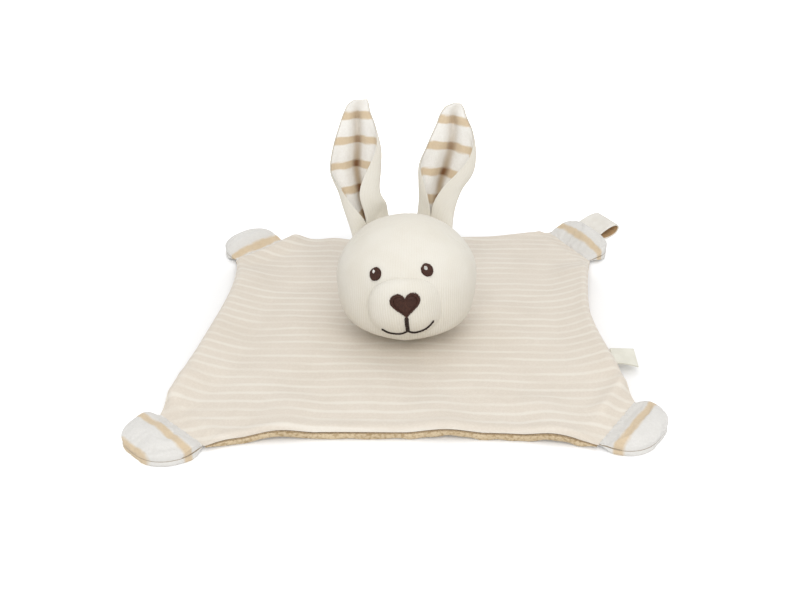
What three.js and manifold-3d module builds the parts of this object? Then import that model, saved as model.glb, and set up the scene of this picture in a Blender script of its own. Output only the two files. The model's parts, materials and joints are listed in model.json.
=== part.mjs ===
// A comfort blanket lovey: a two-layer striped cloth with a stuffed rabbit head sewn to its middle.
// Millimetres, +Z up. The origin is under the cloth's middle, on the resting plane. The face looks to -Y.
import * as THREE from "three";
import { mergeVertices } from "three/addons/utils/BufferGeometryUtils.js";
import Module from "manifold-3d";

const wasm = await Module();
wasm.setup();

const { lerp, clamp, smoothstep, degToRad } = THREE.MathUtils;
const TURN = 2 * Math.PI;
const weldShare = 1e-4; // corners closer than this share of the cloth's half width are one corner

// Driving sizes
const clothHalfWidth = 125; // the cloth's middle to a corner seam
const topClothThickness = 2.4;
const backClothThickness = 2.6;
const clearance = 0.3; // between two pieces that touch
const headHalfWidth = 40.5;
const headHalfDepth = 39.5;
const headHalfHeight = 37.1;
const headForward = 12.3; // the head's centre in front of the cloth's middle
const headSide = 0.5;
const headHeight = 39; // the head's centre over the resting plane
const headRoll = 5.5; // degrees, towards the wearer's right ear
const headClothThickness = 1.2;

// Colours
const fabric = (color, roughness = 0.95) =>
  new THREE.MeshStandardMaterial({ color, roughness, metalness: 0 });
const stripedVelour = fabric(0xe4dacb);
const tanTerry = fabric(0xc8aa82);
const whiteVelour = fabric(0xe8e7e4);
const creamJersey = fabric(0xebe8da);
const fill = fabric(0xf4f2ec, 1);
const brownThread = fabric(0x55322a, 0.6);
const darkThread = fabric(0x37281f, 0.7);
const whiteThread = fabric(0xfafafa, 0.6);
const labelTape = fabric(0xe6e4d6, 0.6);
const creamStrap = fabric(0xe6dfcf);

// Solids from grids of points

// A closed, outward-facing geometry from loose triangles given as corners in threes.
function closedGeometry(corners) {
  const weld = weldShare * clothHalfWidth;
  const soup = new THREE.BufferGeometry().setFromPoints(corners);
  const merged = mergeVertices(soup, weld);
  const { array: at } = merged.index;
  const kept = [];
  for (let i = 0; i < at.length; i += 3) {
    const [a, b, c] = at.slice(i, i + 3);
    if (a !== b && b !== c && c !== a) kept.push(a, b, c);
  }
  const position = merged.attributes.position;
  const [p, q, r] = [0, 1, 2].map(() => new THREE.Vector3());
  let volume = 0;
  for (let i = 0; i < kept.length; i += 3) {
    p.fromBufferAttribute(position, kept[i]);
    q.fromBufferAttribute(position, kept[i + 1]);
    r.fromBufferAttribute(position, kept[i + 2]);
    volume += p.dot(q.cross(r));
  }
  if (volume < 0) kept.reverse();
  merged.setIndex(kept);
  return merged;
}

// The solid between two faces over one grid of (s, t).
// A ring closes on itself along s, so it has no side walls there.
// A crossed grid's cells are split along its own diagonals, which meet in the middle.
function slab(sValues, tValues, faceA, faceB, { ring = false, crossed = false } = {}) {
  const grids = [faceA, faceB].map((face) =>
    tValues.map((t) => sValues.map((s) => face(s, t))),
  );
  if (ring)
    for (const grid of grids) for (const row of grid) row.push(row[0].clone());
  const corners = [];
  const quad = (a, b, c, d) => corners.push(a, b, c, a, c, d);
  const [near, far] = grids;
  const last = near[0].length - 1;
  const end = near.length - 1;
  for (let j = 0; j < end; j++)
    for (let i = 0; i < last; i++) {
      const turned = crossed && (sValues[i] + sValues[i + 1]) * (tValues[j] + tValues[j + 1]) < 0;
      const [a, b, c, d] = [near[j][i], near[j][i + 1], near[j + 1][i + 1], near[j + 1][i]];
      const [e, f, g, h] = [far[j][i], far[j + 1][i], far[j + 1][i + 1], far[j][i + 1]];
      if (turned) {
        quad(b, c, d, a);
        quad(f, g, h, e);
      } else {
        quad(a, b, c, d);
        quad(e, f, g, h);
      }
    }
  for (let i = 0; i < last; i++) {
    quad(near[0][i], far[0][i], far[0][i + 1], near[0][i + 1]);
    quad(near[end][i], near[end][i + 1], far[end][i + 1], far[end][i]);
  }
  if (!ring)
    for (let j = 0; j < end; j++) {
      quad(near[j][0], near[j + 1][0], far[j + 1][0], far[j][0]);
      quad(near[j][last], far[j][last], far[j + 1][last], near[j + 1][last]);
    }
  return closedGeometry(corners);
}

const steps = (count, from = 0, to = 1) =>
  Array.from({ length: count + 1 }, (_, i) => lerp(from, to, i / count));
const turnSteps = (count) => steps(count, 0, TURN).slice(0, -1);
const mirrored = (values) => [...values.map((v) => -v).reverse(), ...values.slice(1)];

const toSolid = (geometry) => {
  const bare = new THREE.BufferGeometry().setAttribute(
    "position",
    geometry.getAttribute("position"),
  );
  bare.setIndex(geometry.index);
  const welded = mergeVertices(bare, weldShare * clothHalfWidth);
  return new wasm.Manifold(
    new wasm.Mesh({
      numProp: 3,
      vertProperties: welded.attributes.position.array,
      triVerts: new Uint32Array(welded.index.array),
    }),
  );
};
const fromSolid = (solid) => {
  const { vertProperties, triVerts } = solid.getMesh();
  return new THREE.BufferGeometry()
    .setAttribute("position", new THREE.BufferAttribute(vertProperties, 3))
    .setIndex(new THREE.BufferAttribute(triVerts, 1));
};

const lovey = new THREE.Group();
function piece(name, geometry, material) {
  const mesh = new THREE.Mesh(geometry, material);
  mesh.name = name;
  lovey.add(mesh);
  return mesh;
}

// The cloth's outline: four paw seams across the corners, and four edges that draw in between them

const pawSeamShares = {
  front_left: { side: [-1.0, -0.84], end: [-0.78, -1.05], out: [-1, -1] },
  front_right: { side: [0.98, -0.69], end: [0.785, -1.0], out: [1, -1] },
  back_left: { side: [-0.95, 0.69], end: [-0.735, 0.97], out: [-1, 1] },
  back_right: { side: [0.99, 0.74], end: [0.815, 1.125], out: [1, 1] },
};
const seamAxisHeight = 2.8;
const seamTipHalfThickness = 0.12; // a seam's edge, pressed thin beside its fold line
const pinchLength = 11; // over which the cloth thins towards a paw seam

const seams = {};
for (const [name, { side, end, out }] of Object.entries(pawSeamShares)) {
  const [a, b] = [side, end].map((p) =>
    new THREE.Vector2(...p).multiplyScalar(clothHalfWidth),
  );
  const along = b.clone().sub(a);
  const outward = new THREE.Vector2(along.y, -along.x).normalize();
  if (outward.dot(new THREE.Vector2(...out)) < 0) outward.negate();
  seams[name] = {
    side: a,
    end: b,
    outward,
    middle: a.clone().lerp(b, 0.5),
    along: along.clone().normalize(),
    length: along.length(),
  };
}

// How far each edge draws in at its middle, and how much more of it lies towards its end.
// A high fullness keeps an edge straight along its middle.
const edges = {
  front: { from: "front_left", to: "front_right", ends: "end", inward: [0, 1] },
  back: { from: "back_left", to: "back_right", ends: "end", inward: [0, -1] },
  left: { from: "front_left", to: "back_left", ends: "side", inward: [1, 0] },
  right: { from: "front_right", to: "back_right", ends: "side", inward: [-1, 0] },
};
const edgeCurves = {
  front: { sag: 10, lean: -1, fullness: 4 },
  back: { sag: 8.4, lean: 0, fullness: 4 },
  left: { sag: 7.8, lean: 5, fullness: 2.6 },
  right: { sag: 12.2, lean: 0, fullness: 1.5 },
};
const seamStartShare = 0.82; // of a grid side, beyond which the outline runs along a seam

// A point of the outline, on the grid's side u or v = 1 or -1. Its seam is named where it runs along one.
function outlinePoint(u, v) {
  const sideways = Math.abs(u) >= Math.abs(v);
  const run = sideways ? v : u;
  const name = sideways ? (u > 0 ? "right" : "left") : v > 0 ? "back" : "front";
  const edge = edges[name];
  const [from, to] = [edge.from, edge.to].map((name) => seams[name]);
  const start = from[edge.ends].clone();
  const stop = to[edge.ends].clone();
  if (Math.abs(run) >= seamStartShare) {
    const seam = run < 0 ? from : to;
    const share = (Math.abs(run) - seamStartShare) / (1 - seamStartShare);
    return { point: (run < 0 ? start : stop).lerp(seam.middle, share), seam };
  }
  const share = run / seamStartShare;
  const { sag, lean, fullness } = edgeCurves[name];
  const draw = (sag + lean * share) * (1 - Math.abs(share) ** fullness);
  const point = start
    .lerp(stop, (share + 1) / 2)
    .addScaledVector(new THREE.Vector2(...edge.inward), draw);
  return { point };
}

// Folds that lift the cloth off the surface: ridge lines, in shares of the half width, and their height.
const foldHeight = 6;
const foldLines = [
  { from: [-0.935, -0.45], to: [-0.87, 0.42], widthShare: 0.13, heightShare: 0.9 },
  { from: [0.93, -0.42], to: [0.92, 0.5], widthShare: 0.13, heightShare: 1.0 },
  { from: [-0.94, 0.58], to: [-0.68, 0.9], widthShare: 0.07, heightShare: 0.9 },
  { from: [-0.63, 1.0], to: [-0.6, 0.85], widthShare: 0.08, heightShare: 0.22 },
  { from: [-0.445, 1.0], to: [-0.42, 0.84], widthShare: 0.09, heightShare: 0.32 },
  { from: [0.95, -0.62], to: [0.87, -0.78], widthShare: 0.07, heightShare: 0.8 },
  { from: [-1.0, -0.76], to: [-0.95, -0.62], widthShare: 0.09, heightShare: 0.9 },
  { from: [-0.5, -0.96], to: [-0.46, -0.78], widthShare: 0.11, heightShare: 0.45 },
  { from: [0.18, -0.95], to: [0.14, -0.78], widthShare: 0.12, heightShare: 0.4 },
  { from: [0.62, -0.92], to: [0.58, -0.76], widthShare: 0.1, heightShare: 0.45 },
];
const foldFade = 14; // a fold dies away over this distance to a paw seam

function fold(x, y, { from, to, widthShare, heightShare }) {
  const a = new THREE.Vector2(...from).multiplyScalar(clothHalfWidth);
  const b = new THREE.Vector2(...to).multiplyScalar(clothHalfWidth);
  const line = b.clone().sub(a);
  const point = new THREE.Vector2(x, y).sub(a);
  const share = clamp(point.dot(line) / line.lengthSq(), 0, 1);
  const distance = point.addScaledVector(line, -share).length();
  return heightShare * foldHeight * Math.exp(-((distance / (widthShare * clothHalfWidth)) ** 2));
}

const seamDistance = (x, y) =>
  Math.min(
    ...Object.values(seams).map((seam) =>
      seam.middle.clone().sub(new THREE.Vector2(x, y)).dot(seam.outward),
    ),
  );
const flatFloor = 0.5; // the lowest folds are pressed flat on the resting plane
const lift = (x, y) => {
  const raised = foldLines.reduce((sum, line) => sum + fold(x, y, line), 0);
  return Math.max(0, raised - flatFloor) * smoothstep(seamDistance(x, y), 0, foldFade);
};

// The four faces of the two cloths, from the top down
const seamGap = 0.15; // from a cloth's edge to the fold line it turns about
const backSeamInset = seamGap + 1.5; // the back cloth stops short of the fold line
const shoulderDrop = 1.0; // the top cloth rounds down at its hem
const hemRise = 0.7; // the back cloth rounds up at its hem
const clothTop = backClothThickness + clearance + topClothThickness;

// The rim of each face stops inset short of a seam's fold line, and everything inside it lies on one grid.
function clothFace(inset, seamHeight, height, hemHeight) {
  return (u, v) => {
    const reach = Math.max(Math.abs(u), Math.abs(v));
    const outline = reach ? outlinePoint(u / reach, v / reach) : { point: new THREE.Vector2() };
    const at = outline.point.multiplyScalar(reach);
    if (reach === 1 && outline.seam) at.addScaledVector(outline.seam.outward, -inset);
    const pinched = smoothstep(seamDistance(at.x, at.y), 0, pinchLength);
    const free = lift(at.x, at.y) + height + (reach === 1 ? hemHeight : 0);
    return new THREE.Vector3(at.x, at.y, lerp(seamHeight, free, pinched));
  };
}

const clothGrid = mirrored([0, 0.12, 0.24, 0.36, 0.48, 0.6, 0.72, 0.82, 0.92, 0.975, 1]);
const seamUnder = seamAxisHeight - seamTipHalfThickness - clearance;
piece(
  "blanket_top",
  slab(
    clothGrid,
    clothGrid,
    clothFace(seamGap, seamAxisHeight + seamTipHalfThickness, clothTop, -shoulderDrop),
    clothFace(seamGap, seamAxisHeight - seamTipHalfThickness, backClothThickness + clearance, 0),
    { crossed: true },
  ),
  stripedVelour,
);
piece(
  "blanket_back",
  slab(
    clothGrid,
    clothGrid,
    clothFace(backSeamInset, seamUnder, backClothThickness, 0),
    clothFace(backSeamInset, seamUnder - 2 * seamTipHalfThickness, 0, hemRise),
    { crossed: true },
  ),
  tanTerry,
);

// The paws: a top and a back cloth around a little wadding, folding about their seams
// A paw is wider than its seam by its bulge on each side. Its free edge is lifted by its rise.
const pawSizes = {
  front_left: { length: 29, squareness: 2.6, bulge: 4, height: 10, rise: 0.3 },
  front_right: { length: 24, squareness: 2.6, bulge: 1, height: 10, rise: 0.3 },
  back_left: { length: 21.5, squareness: 2.6, bulge: 0, height: 13, rise: 2 },
  back_right: { length: 20.5, squareness: 3.2, bulge: 1, height: 15.5, rise: 3.2 },
};
const pawClothThickness = 1.5;
const pawRimHalfThickness = 1.35; // both cloths and their seam at the free edge
const pawPinchLength = 5; // over which its cloths part beside the seam
const pawPinchShare = 0.95; // of its height, over which it puffs up from the seam
const pawSteepness = 0.25; // 0.5 rounds a paw like a ball, and a lower power steepens its sides

// A point of a paw's plan: s across from -1 to 1, t outward from its seam at 0 to its tip at 1.
function pawPlan(seam, { length, squareness, bulge }, start, s, t) {
  const half = seam.length / 2 + bulge * Math.sin(Math.min(1, 2 * t) * (Math.PI / 2));
  const width = half * (1 - t ** squareness) ** (1 / squareness);
  return seam.middle
    .clone()
    .addScaledVector(seam.along, s * width)
    .addScaledVector(seam.outward, t ? t * length : start);
}

// How puffed a paw is at a point, from 0 at its rim and its seam to 1 in its middle.
function pawPuff(seam, size, point) {
  const from = point.clone().sub(seam.middle);
  const across = Math.abs(from.dot(seam.along)) / (seam.length / 2 + size.bulge);
  const outward = from.dot(seam.outward);
  const share = clamp(outward / size.length, 0, 1);
  const rim = (across ** size.squareness + share ** size.squareness) ** (1 / size.squareness);
  const pinched = smoothstep(outward, 0, pawPinchShare * size.height);
  return {
    crown: clamp(1 - rim ** 2, 0, 1) ** pawSteepness * pinched,
    open: smoothstep(outward - seamGap, 0, pawPinchLength),
    raised: size.rise * smoothstep(outward, 0, size.length),
  };
}

function pawFace(seam, size, start, seamOffset, rimOffset, middleHeight) {
  return (s, t) => {
    const point = pawPlan(seam, size, start, s, t);
    const { crown, open, raised } = pawPuff(seam, size, point);
    const rim = seamAxisHeight + raised + lerp(seamOffset, rimOffset, open);
    return new THREE.Vector3(point.x, point.y, lerp(rim, middleHeight, crown));
  };
}

const pawAcross = mirrored([0, 0.42, 0.8, 1]);
const pawOut = [0, 0.15, 0.38, 0.65, 0.88, 1];
const layerHalfGap = clearance / 2;
for (const [name, size] of Object.entries(pawSizes)) {
  const seam = seams[name];
  const tip = seamTipHalfThickness;
  const face = (...args) => pawFace(seam, size, ...args);
  const innerTop = size.height - pawClothThickness;
  const paw = "paw_" + name;
  piece(
    paw + "_top",
    slab(
      pawAcross,
      pawOut,
      face(seamGap, tip, pawRimHalfThickness, size.height),
      face(seamGap, -tip, layerHalfGap, innerTop),
      { crossed: true },
    ),
    whiteVelour,
  );
  piece(
    paw + "_back",
    slab(
      pawAcross,
      pawOut,
      face(backSeamInset, -tip - clearance, -layerHalfGap, pawClothThickness),
      face(backSeamInset, -3 * tip - clearance, -pawRimHalfThickness, 0),
      { crossed: true },
    ),
    whiteVelour,
  );
  const waddingRim = layerHalfGap - clearance;
  piece(
    paw + "_wadding",
    slab(
      pawAcross.slice(1, -1),
      pawOut.slice(1, -1),
      face(seamGap, 0, waddingRim, innerTop - clearance),
      face(seamGap, 0, -waddingRim, pawClothThickness + clearance),
      { crossed: true },
    ),
    fill,
  );
}

// The neck: a gathered stub on the cloth, and the ring of stitches that ties the head to it.
// The head turns, nods and tilts about the stub's centre, so these faces are parts of spheres around it.

const gatherRadius = 12;
const stitchThickness = 1;
const stitchTop = degToRad(30); // from straight up
const stitchBottom = degToRad(66);
const neckBehindHead = 6.3; // the neck's centre behind the head's
const nodForward = degToRad(8);
const nodBack = degToRad(20);
const headTilt = degToRad(10);
const neckSides = 28;

const headCentre = new THREE.Vector3(headSide, -headForward, headHeight);
const neckCentre = new THREE.Vector3(0, neckBehindHead - headForward, clothTop + clearance);

const arcProfile = (radius, from, to, count) =>
  steps(count, from, to).map(
    (angle) => new THREE.Vector2(radius * Math.sin(angle), radius * Math.cos(angle)),
  );
const turned = (profile) =>
  fromSolid(toSolid(new THREE.LatheGeometry(profile, neckSides).rotateX(Math.PI / 2)));
const stitchRadius = gatherRadius + clearance;
const stitchOuterRadius = stitchRadius + stitchThickness;
const innerArc = arcProfile(stitchRadius, stitchTop, stitchBottom, 4);
const outerArc = arcProfile(stitchOuterRadius, stitchBottom, stitchTop, 4);
const gatherArc = arcProfile(gatherRadius, Math.PI / 2, 0, 8);
piece(
  "neck_gather",
  turned([new THREE.Vector2(), ...gatherArc]),
  creamJersey,
).position.copy(neckCentre);
piece(
  "neck_stitching",
  turned([...outerArc, ...innerArc, outerArc[0]]),
  whiteThread,
).position.copy(neckCentre);

// The head: a ball with full cheeks, whose underside clears the cloth as far as the neck lets it move

const headFullness = 2.15; // 2 is an ellipsoid
const cheekFullness = 0.2; // added at the bottom and taken away at the top
const underEdge = 14; // the power that rounds the underside into the ball

// The planes that the head's underside stays above: the cloth, as the head leans each way.
const underPlanes = [-headTilt, headTilt].flatMap((tilt) =>
  [-nodForward, nodBack].map((nod) =>
    new THREE.Vector3(Math.tan(tilt), -Math.tan(nod), 1).normalize(),
  ),
);

// The distance from the head's centre to its surface in a direction.
function headRadius(direction) {
  const power = headFullness - cheekFullness * direction.z;
  const ball =
    ((Math.abs(direction.x) / headHalfWidth) ** power +
      (Math.abs(direction.y) / headHalfDepth) ** power +
      (Math.abs(direction.z) / headHalfHeight) ** power) **
    (-1 / power);
  const fromNeck = headCentre.clone().sub(neckCentre);
  const limits = underPlanes.map((normal) => {
    const closing = -direction.dot(normal);
    return closing > 0 ? closing / fromNeck.dot(normal) : 0;
  });
  return (Math.max(...limits) ** underEdge + ball ** -underEdge) ** (-1 / underEdge);
}

// The head's poles lie on the line from its centre to the neck.
// Azimuth is measured from the face, and latitude from the middle.
const headAxis = headCentre.clone().sub(neckCentre).normalize();
const headFrame = new THREE.Matrix4().makeBasis(
  new THREE.Vector3(1, 0, 0).addScaledVector(headAxis, -headAxis.x).normalize(),
  new THREE.Vector3().crossVectors(headAxis, new THREE.Vector3(1, 0, 0)).normalize(),
  headAxis,
);
const headDirection = (azimuth, latitude) =>
  new THREE.Vector3(
    Math.cos(latitude) * Math.sin(azimuth),
    -Math.cos(latitude) * Math.cos(azimuth),
    Math.sin(latitude),
  ).applyMatrix4(headFrame);
const headPoint = (direction, depth) =>
  direction.clone().multiplyScalar(headRadius(direction) - depth).add(headCentre);

const neckOpening = degToRad(-66); // the latitude where the head's cloth ends at the neck
const headSeamHalfGap = clearance / 2;
const quarter = Math.PI / 2;
const quarterSteps = 7; // from the face's middle to a side seam
const panelLatitudes = steps(10, neckOpening, quarter);
function headPanel(name, azimuths, away) {
  const shift = away.multiplyScalar(headSeamHalfGap);
  const face = (depth) => (azimuth, latitude) =>
    headPoint(headDirection(azimuth, latitude), depth).add(shift);
  piece(name, slab(azimuths, panelLatitudes, face(0), face(headClothThickness)), creamJersey);
}
headPanel("head_face", steps(2 * quarterSteps, -quarter, quarter), new THREE.Vector3(0, -1, 0));
headPanel("head_back_left", steps(quarterSteps, -2 * quarter, -quarter), new THREE.Vector3(-1, 1, 0));
headPanel("head_back_right", steps(quarterSteps, quarter, 2 * quarter), new THREE.Vector3(1, 1, 0));

// The stuffing is a ball on the same grid, hollowed for the neck.
// It is one face, swept all round from pole to pole.
const stuffingDepth = headClothThickness + clearance;
const stuffingLatitudes = [-quarter, (neckOpening - quarter) / 2, ...panelLatitudes];
const stuffingAt = (azimuth, latitude) =>
  headPoint(headDirection(azimuth, latitude), stuffingDepth);
const atHeadCentre = () => headCentre.clone();
const stuffingBall = slab(
  turnSteps(4 * quarterSteps),
  stuffingLatitudes,
  stuffingAt,
  atHeadCentre,
  { ring: true },
);
const neckPocket = new THREE.SphereGeometry(stitchOuterRadius + clearance, neckSides, 14)
  .rotateX(quarter)
  .translate(...neckCentre);
const stuffing = toSolid(stuffingBall).subtract(toSolid(neckPocket));
piece("head_stuffing", fromSolid(stuffing), fill);

// The face: places are given by azimuth and elevation in degrees, seen straight on before the head's roll

function faceDirection(azimuth, elevation) {
  const [a, e] = [azimuth, elevation].map(degToRad);
  return new THREE.Vector3(
    Math.cos(e) * Math.sin(a),
    -Math.cos(e) * Math.cos(a),
    Math.sin(e),
  ).applyAxisAngle(new THREE.Vector3(0, -1, 0), degToRad(headRoll));
}

const muzzleMiddle = { azimuth: 0.3, elevation: -1.3 };
const muzzleSpan = { azimuth: 30, elevation: 26.6 }; // half of the muzzle, in degrees
const muzzleSquareness = 2.6; // 2 is an oval
const muzzleHeight = 6;
const muzzleClothThickness = 1.2;
const muzzleRounding = 0.85; // 0.5 is a half ellipsoid, and a higher power spreads its foot
const muzzleRings = [0, 0.3, 0.55, 0.76, 0.91, 1];

// How far the muzzle stands off the face's cloth, which it lies on.
function muzzleRise(azimuth, elevation) {
  const shares = [
    (azimuth - muzzleMiddle.azimuth) / muzzleSpan.azimuth,
    (elevation - muzzleMiddle.elevation) / muzzleSpan.elevation,
  ];
  const powers = shares.map((share) => Math.abs(share) ** muzzleSquareness);
  const reach = (powers[0] + powers[1]) ** (1 / muzzleSquareness);
  return reach < 1 ? muzzleHeight * (1 - reach ** 2) ** muzzleRounding : 0;
}
const onFace = (azimuth, elevation, height) =>
  headPoint(faceDirection(azimuth, elevation), headSeamHalfGap - clearance - height);
const squared = (share) => Math.sign(share) * Math.abs(share) ** (2 / muzzleSquareness);
const muzzleAt = (turn, reach) => [
  muzzleMiddle.azimuth + muzzleSpan.azimuth * reach * squared(Math.cos(turn)),
  muzzleMiddle.elevation + muzzleSpan.elevation * reach * squared(Math.sin(turn)),
];
const faceClearance = 2 * clearance; // keeps flat facets off a curved surface
const muzzleFace = (height) => (turn, reach) => {
  const [azimuth, elevation] = muzzleAt(turn, reach);
  return onFace(azimuth, elevation, height(muzzleRise(azimuth, elevation)));
};
const muzzleTurn = turnSteps(24);
piece(
  "muzzle_cover",
  slab(
    muzzleTurn,
    muzzleRings,
    muzzleFace((rise) => faceClearance + muzzleClothThickness + rise),
    muzzleFace((rise) => faceClearance + rise),
    { ring: true },
  ),
  creamJersey,
);
piece(
  "muzzle_stuffing",
  slab(
    muzzleTurn,
    muzzleRings.slice(0, -1),
    muzzleFace((rise) => faceClearance + rise - clearance),
    muzzleFace(() => clearance),
    { ring: true },
  ),
  fill,
);

// The embroidery: pads of satin stitch with a raised middle, and a stitched mouth line

const threadHeight = 1.2;
const eyePlaces = { left: [-25, 28.3], right: [23, 28.8] };
const eyeSpan = { azimuth: 5.7, elevation: 5.3 }; // half of an eye, in degrees
const glintShare = 0.26; // of the eye's size
const glintOffsetShare = { azimuth: -0.22, elevation: 0.3 };
const nosePlace = { azimuth: 1, elevation: 6.2 };
const noseSpan = { azimuth: 10.6, elevation: 8.7 };
const mouthPlace = {
  stem: [0.7, -4.2],
  join: [0.5, -14.7],
  left: [[-8.7, -18.2], [-18.5, -13.4]],
  right: [[6.8, -18.5], [20.5, -11.1]],
};
const mouthThreadRadius = 0.6;
const padRings = [0, 0.55, 1];

// A stitched pad over the outline turn -> [azimuth, elevation], lying base above the face's cloth.
function pad(name, outline, middle, turns, base, material) {
  const at = (height) => (turn, reach) => {
    const [azimuth, elevation] = outline(turn);
    const place = [lerp(middle[0], azimuth, reach), lerp(middle[1], elevation, reach)];
    return onFace(...place, base(...place) + height * (1 - reach ** 2 / 2));
  };
  piece(name, slab(turns, padRings, at(threadHeight), at(0), { ring: true }), material);
}

const oval = (place, span) => (turn) => [
  place[0] + span.azimuth * Math.cos(turn),
  place[1] + span.elevation * Math.sin(turn),
];
const scaled = (span, share) => ({
  azimuth: span.azimuth * share,
  elevation: span.elevation * share,
});
for (const [side, place] of Object.entries(eyePlaces)) {
  const onCloth = () => 0;
  pad("eye_" + side, oval(place, eyeSpan), place, turnSteps(14), onCloth, brownThread);
  const glint = [
    place[0] + glintOffsetShare.azimuth * eyeSpan.azimuth,
    place[1] + glintOffsetShare.elevation * eyeSpan.elevation,
  ];
  const glintOutline = oval(glint, scaled(eyeSpan, glintShare));
  const onEye = () => threadHeight + clearance;
  pad("glint_" + side, glintOutline, glint, turnSteps(8), onEye, whiteThread);
}

// A heart in a unit square: two round lobes over a point.
function heart(turn) {
  const across = Math.sin(turn) ** 3;
  const up = [13, -5, -2, -1].reduce((sum, wave, i) => sum + wave * Math.cos((i + 1) * turn), 0);
  return [across, up / 14.5 + 0.17];
}
const onMuzzle = (azimuth, elevation) =>
  faceClearance + muzzleClothThickness + muzzleRise(azimuth, elevation) + clearance;
const heartOutline = (turn) => {
  const [across, up] = heart(turn);
  return [
    nosePlace.azimuth + noseSpan.azimuth * across,
    nosePlace.elevation + noseSpan.elevation * up,
  ];
};
pad(
  "nose",
  heartOutline,
  [nosePlace.azimuth, nosePlace.elevation],
  turnSteps(24),
  onMuzzle,
  brownThread,
);

const threadSection = new THREE.Shape(
  turnSteps(6).map(
    (turn) => new THREE.Vector2(Math.cos(turn), Math.sin(turn)).multiplyScalar(mouthThreadRadius),
  ),
);
function stitchLine(places, count) {
  const line = new THREE.CatmullRomCurve3(places.map((place) => new THREE.Vector3(...place, 0)));
  const points = line
    .getPoints(count)
    .map(({ x, y }) => onFace(x, y, onMuzzle(x, y) + mouthThreadRadius));
  return toSolid(
    new THREE.ExtrudeGeometry(threadSection, {
      steps: count,
      extrudePath: new THREE.CatmullRomCurve3(points),
    }),
  );
}
const { stem, join, left, right } = mouthPlace;
const mouth = stitchLine([join, ...left], 10)
  .add(stitchLine([join, ...right], 10))
  .add(stitchLine([stem, join], 5));
piece("mouth_stitch", fromSolid(mouth), darkThread);

// The ears: a cream outer cloth and a striped inner cloth, curled forwards into a leaf-shaped trough.
// Each is pressed flat at its base, and turns there about a line that lies along the head.

const ears = {
  left: { azimuth: -136.3, elevation: 33, splay: -2, length: 74 },
  right: { azimuth: 148, elevation: 32, splay: 8, length: 69 },
};
const earLeanBack = 8; // degrees
const earBaseRadius = 3.2; // the rounded base around the fold line
const earOuterThickness = 1.6;
const earInnerThickness = 1.0;
const earInnerStartShare = 0.06;
const earFacingShare = 0.3; // above this share of its length an ear faces straight ahead
const earCreaseShare = 0.45; // a crease down its middle, in shares of its half depth
const earCreaseSpread = degToRad(24);

// Stations along an ear, in shares of its length: half width, half depth and how far it sways sideways.
// Its edges are in degrees from its back.
const earStationShares = {
  left: [
    { at: 0, width: 0.141, depth: 0.043, sway: 0, left: 166, right: 190 },
    { at: 0.14, width: 0.157, depth: 0.072, sway: 0.032, left: 152, right: 186 },
    { at: 0.28, width: 0.165, depth: 0.09, sway: -0.02, left: 132, right: 174 },
    { at: 0.45, width: 0.203, depth: 0.096, sway: -0.037, left: 104, right: 152 },
    { at: 0.62, width: 0.196, depth: 0.09, sway: -0.021, left: 86, right: 124 },
    { at: 0.8, width: 0.15, depth: 0.075, sway: -0.013, left: 70, right: 92 },
    { at: 0.93, width: 0.098, depth: 0.055, sway: -0.006, left: 56, right: 62 },
    { at: 1, width: 0.06, depth: 0.04, sway: 0.02, left: 45, right: 45 },
  ],
  right: [
    { at: 0, width: 0.168, depth: 0.043, sway: 0, left: 166, right: 190 },
    { at: 0.14, width: 0.163, depth: 0.072, sway: -0.013, left: 152, right: 186 },
    { at: 0.28, width: 0.188, depth: 0.09, sway: -0.011, left: 132, right: 174 },
    { at: 0.45, width: 0.236, depth: 0.096, sway: 0.015, left: 104, right: 152 },
    { at: 0.62, width: 0.214, depth: 0.09, sway: 0.033, left: 86, right: 124 },
    { at: 0.8, width: 0.162, depth: 0.075, sway: 0.025, left: 70, right: 92 },
    { at: 0.93, width: 0.099, depth: 0.055, sway: 0.004, left: 56, right: 62 },
    { at: 1, width: 0.04, depth: 0.035, sway: 0.023, left: 45, right: 45 },
  ],
};
function earSection(side, length, share) {
  const stations = earStationShares[side];
  const next = stations.findIndex(({ at }) => at >= share);
  const [a, b] = [stations[Math.max(0, next - 1)], stations[next]];
  const between = b.at > a.at ? (share - a.at) / (b.at - a.at) : 0;
  const value = (key) => lerp(a[key], b[key], between);
  const [leftEdge, rightEdge] = [value("left"), value("right")].map(degToRad);
  const widest = Math.sin(Math.min(quarter, (leftEdge + rightEdge) / 2));
  return {
    halfWidth: (value("width") * length) / widest,
    halfDepth: value("depth") * length,
    sway: value("sway") * length,
    leftEdge,
    rightEdge,
  };
}

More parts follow.
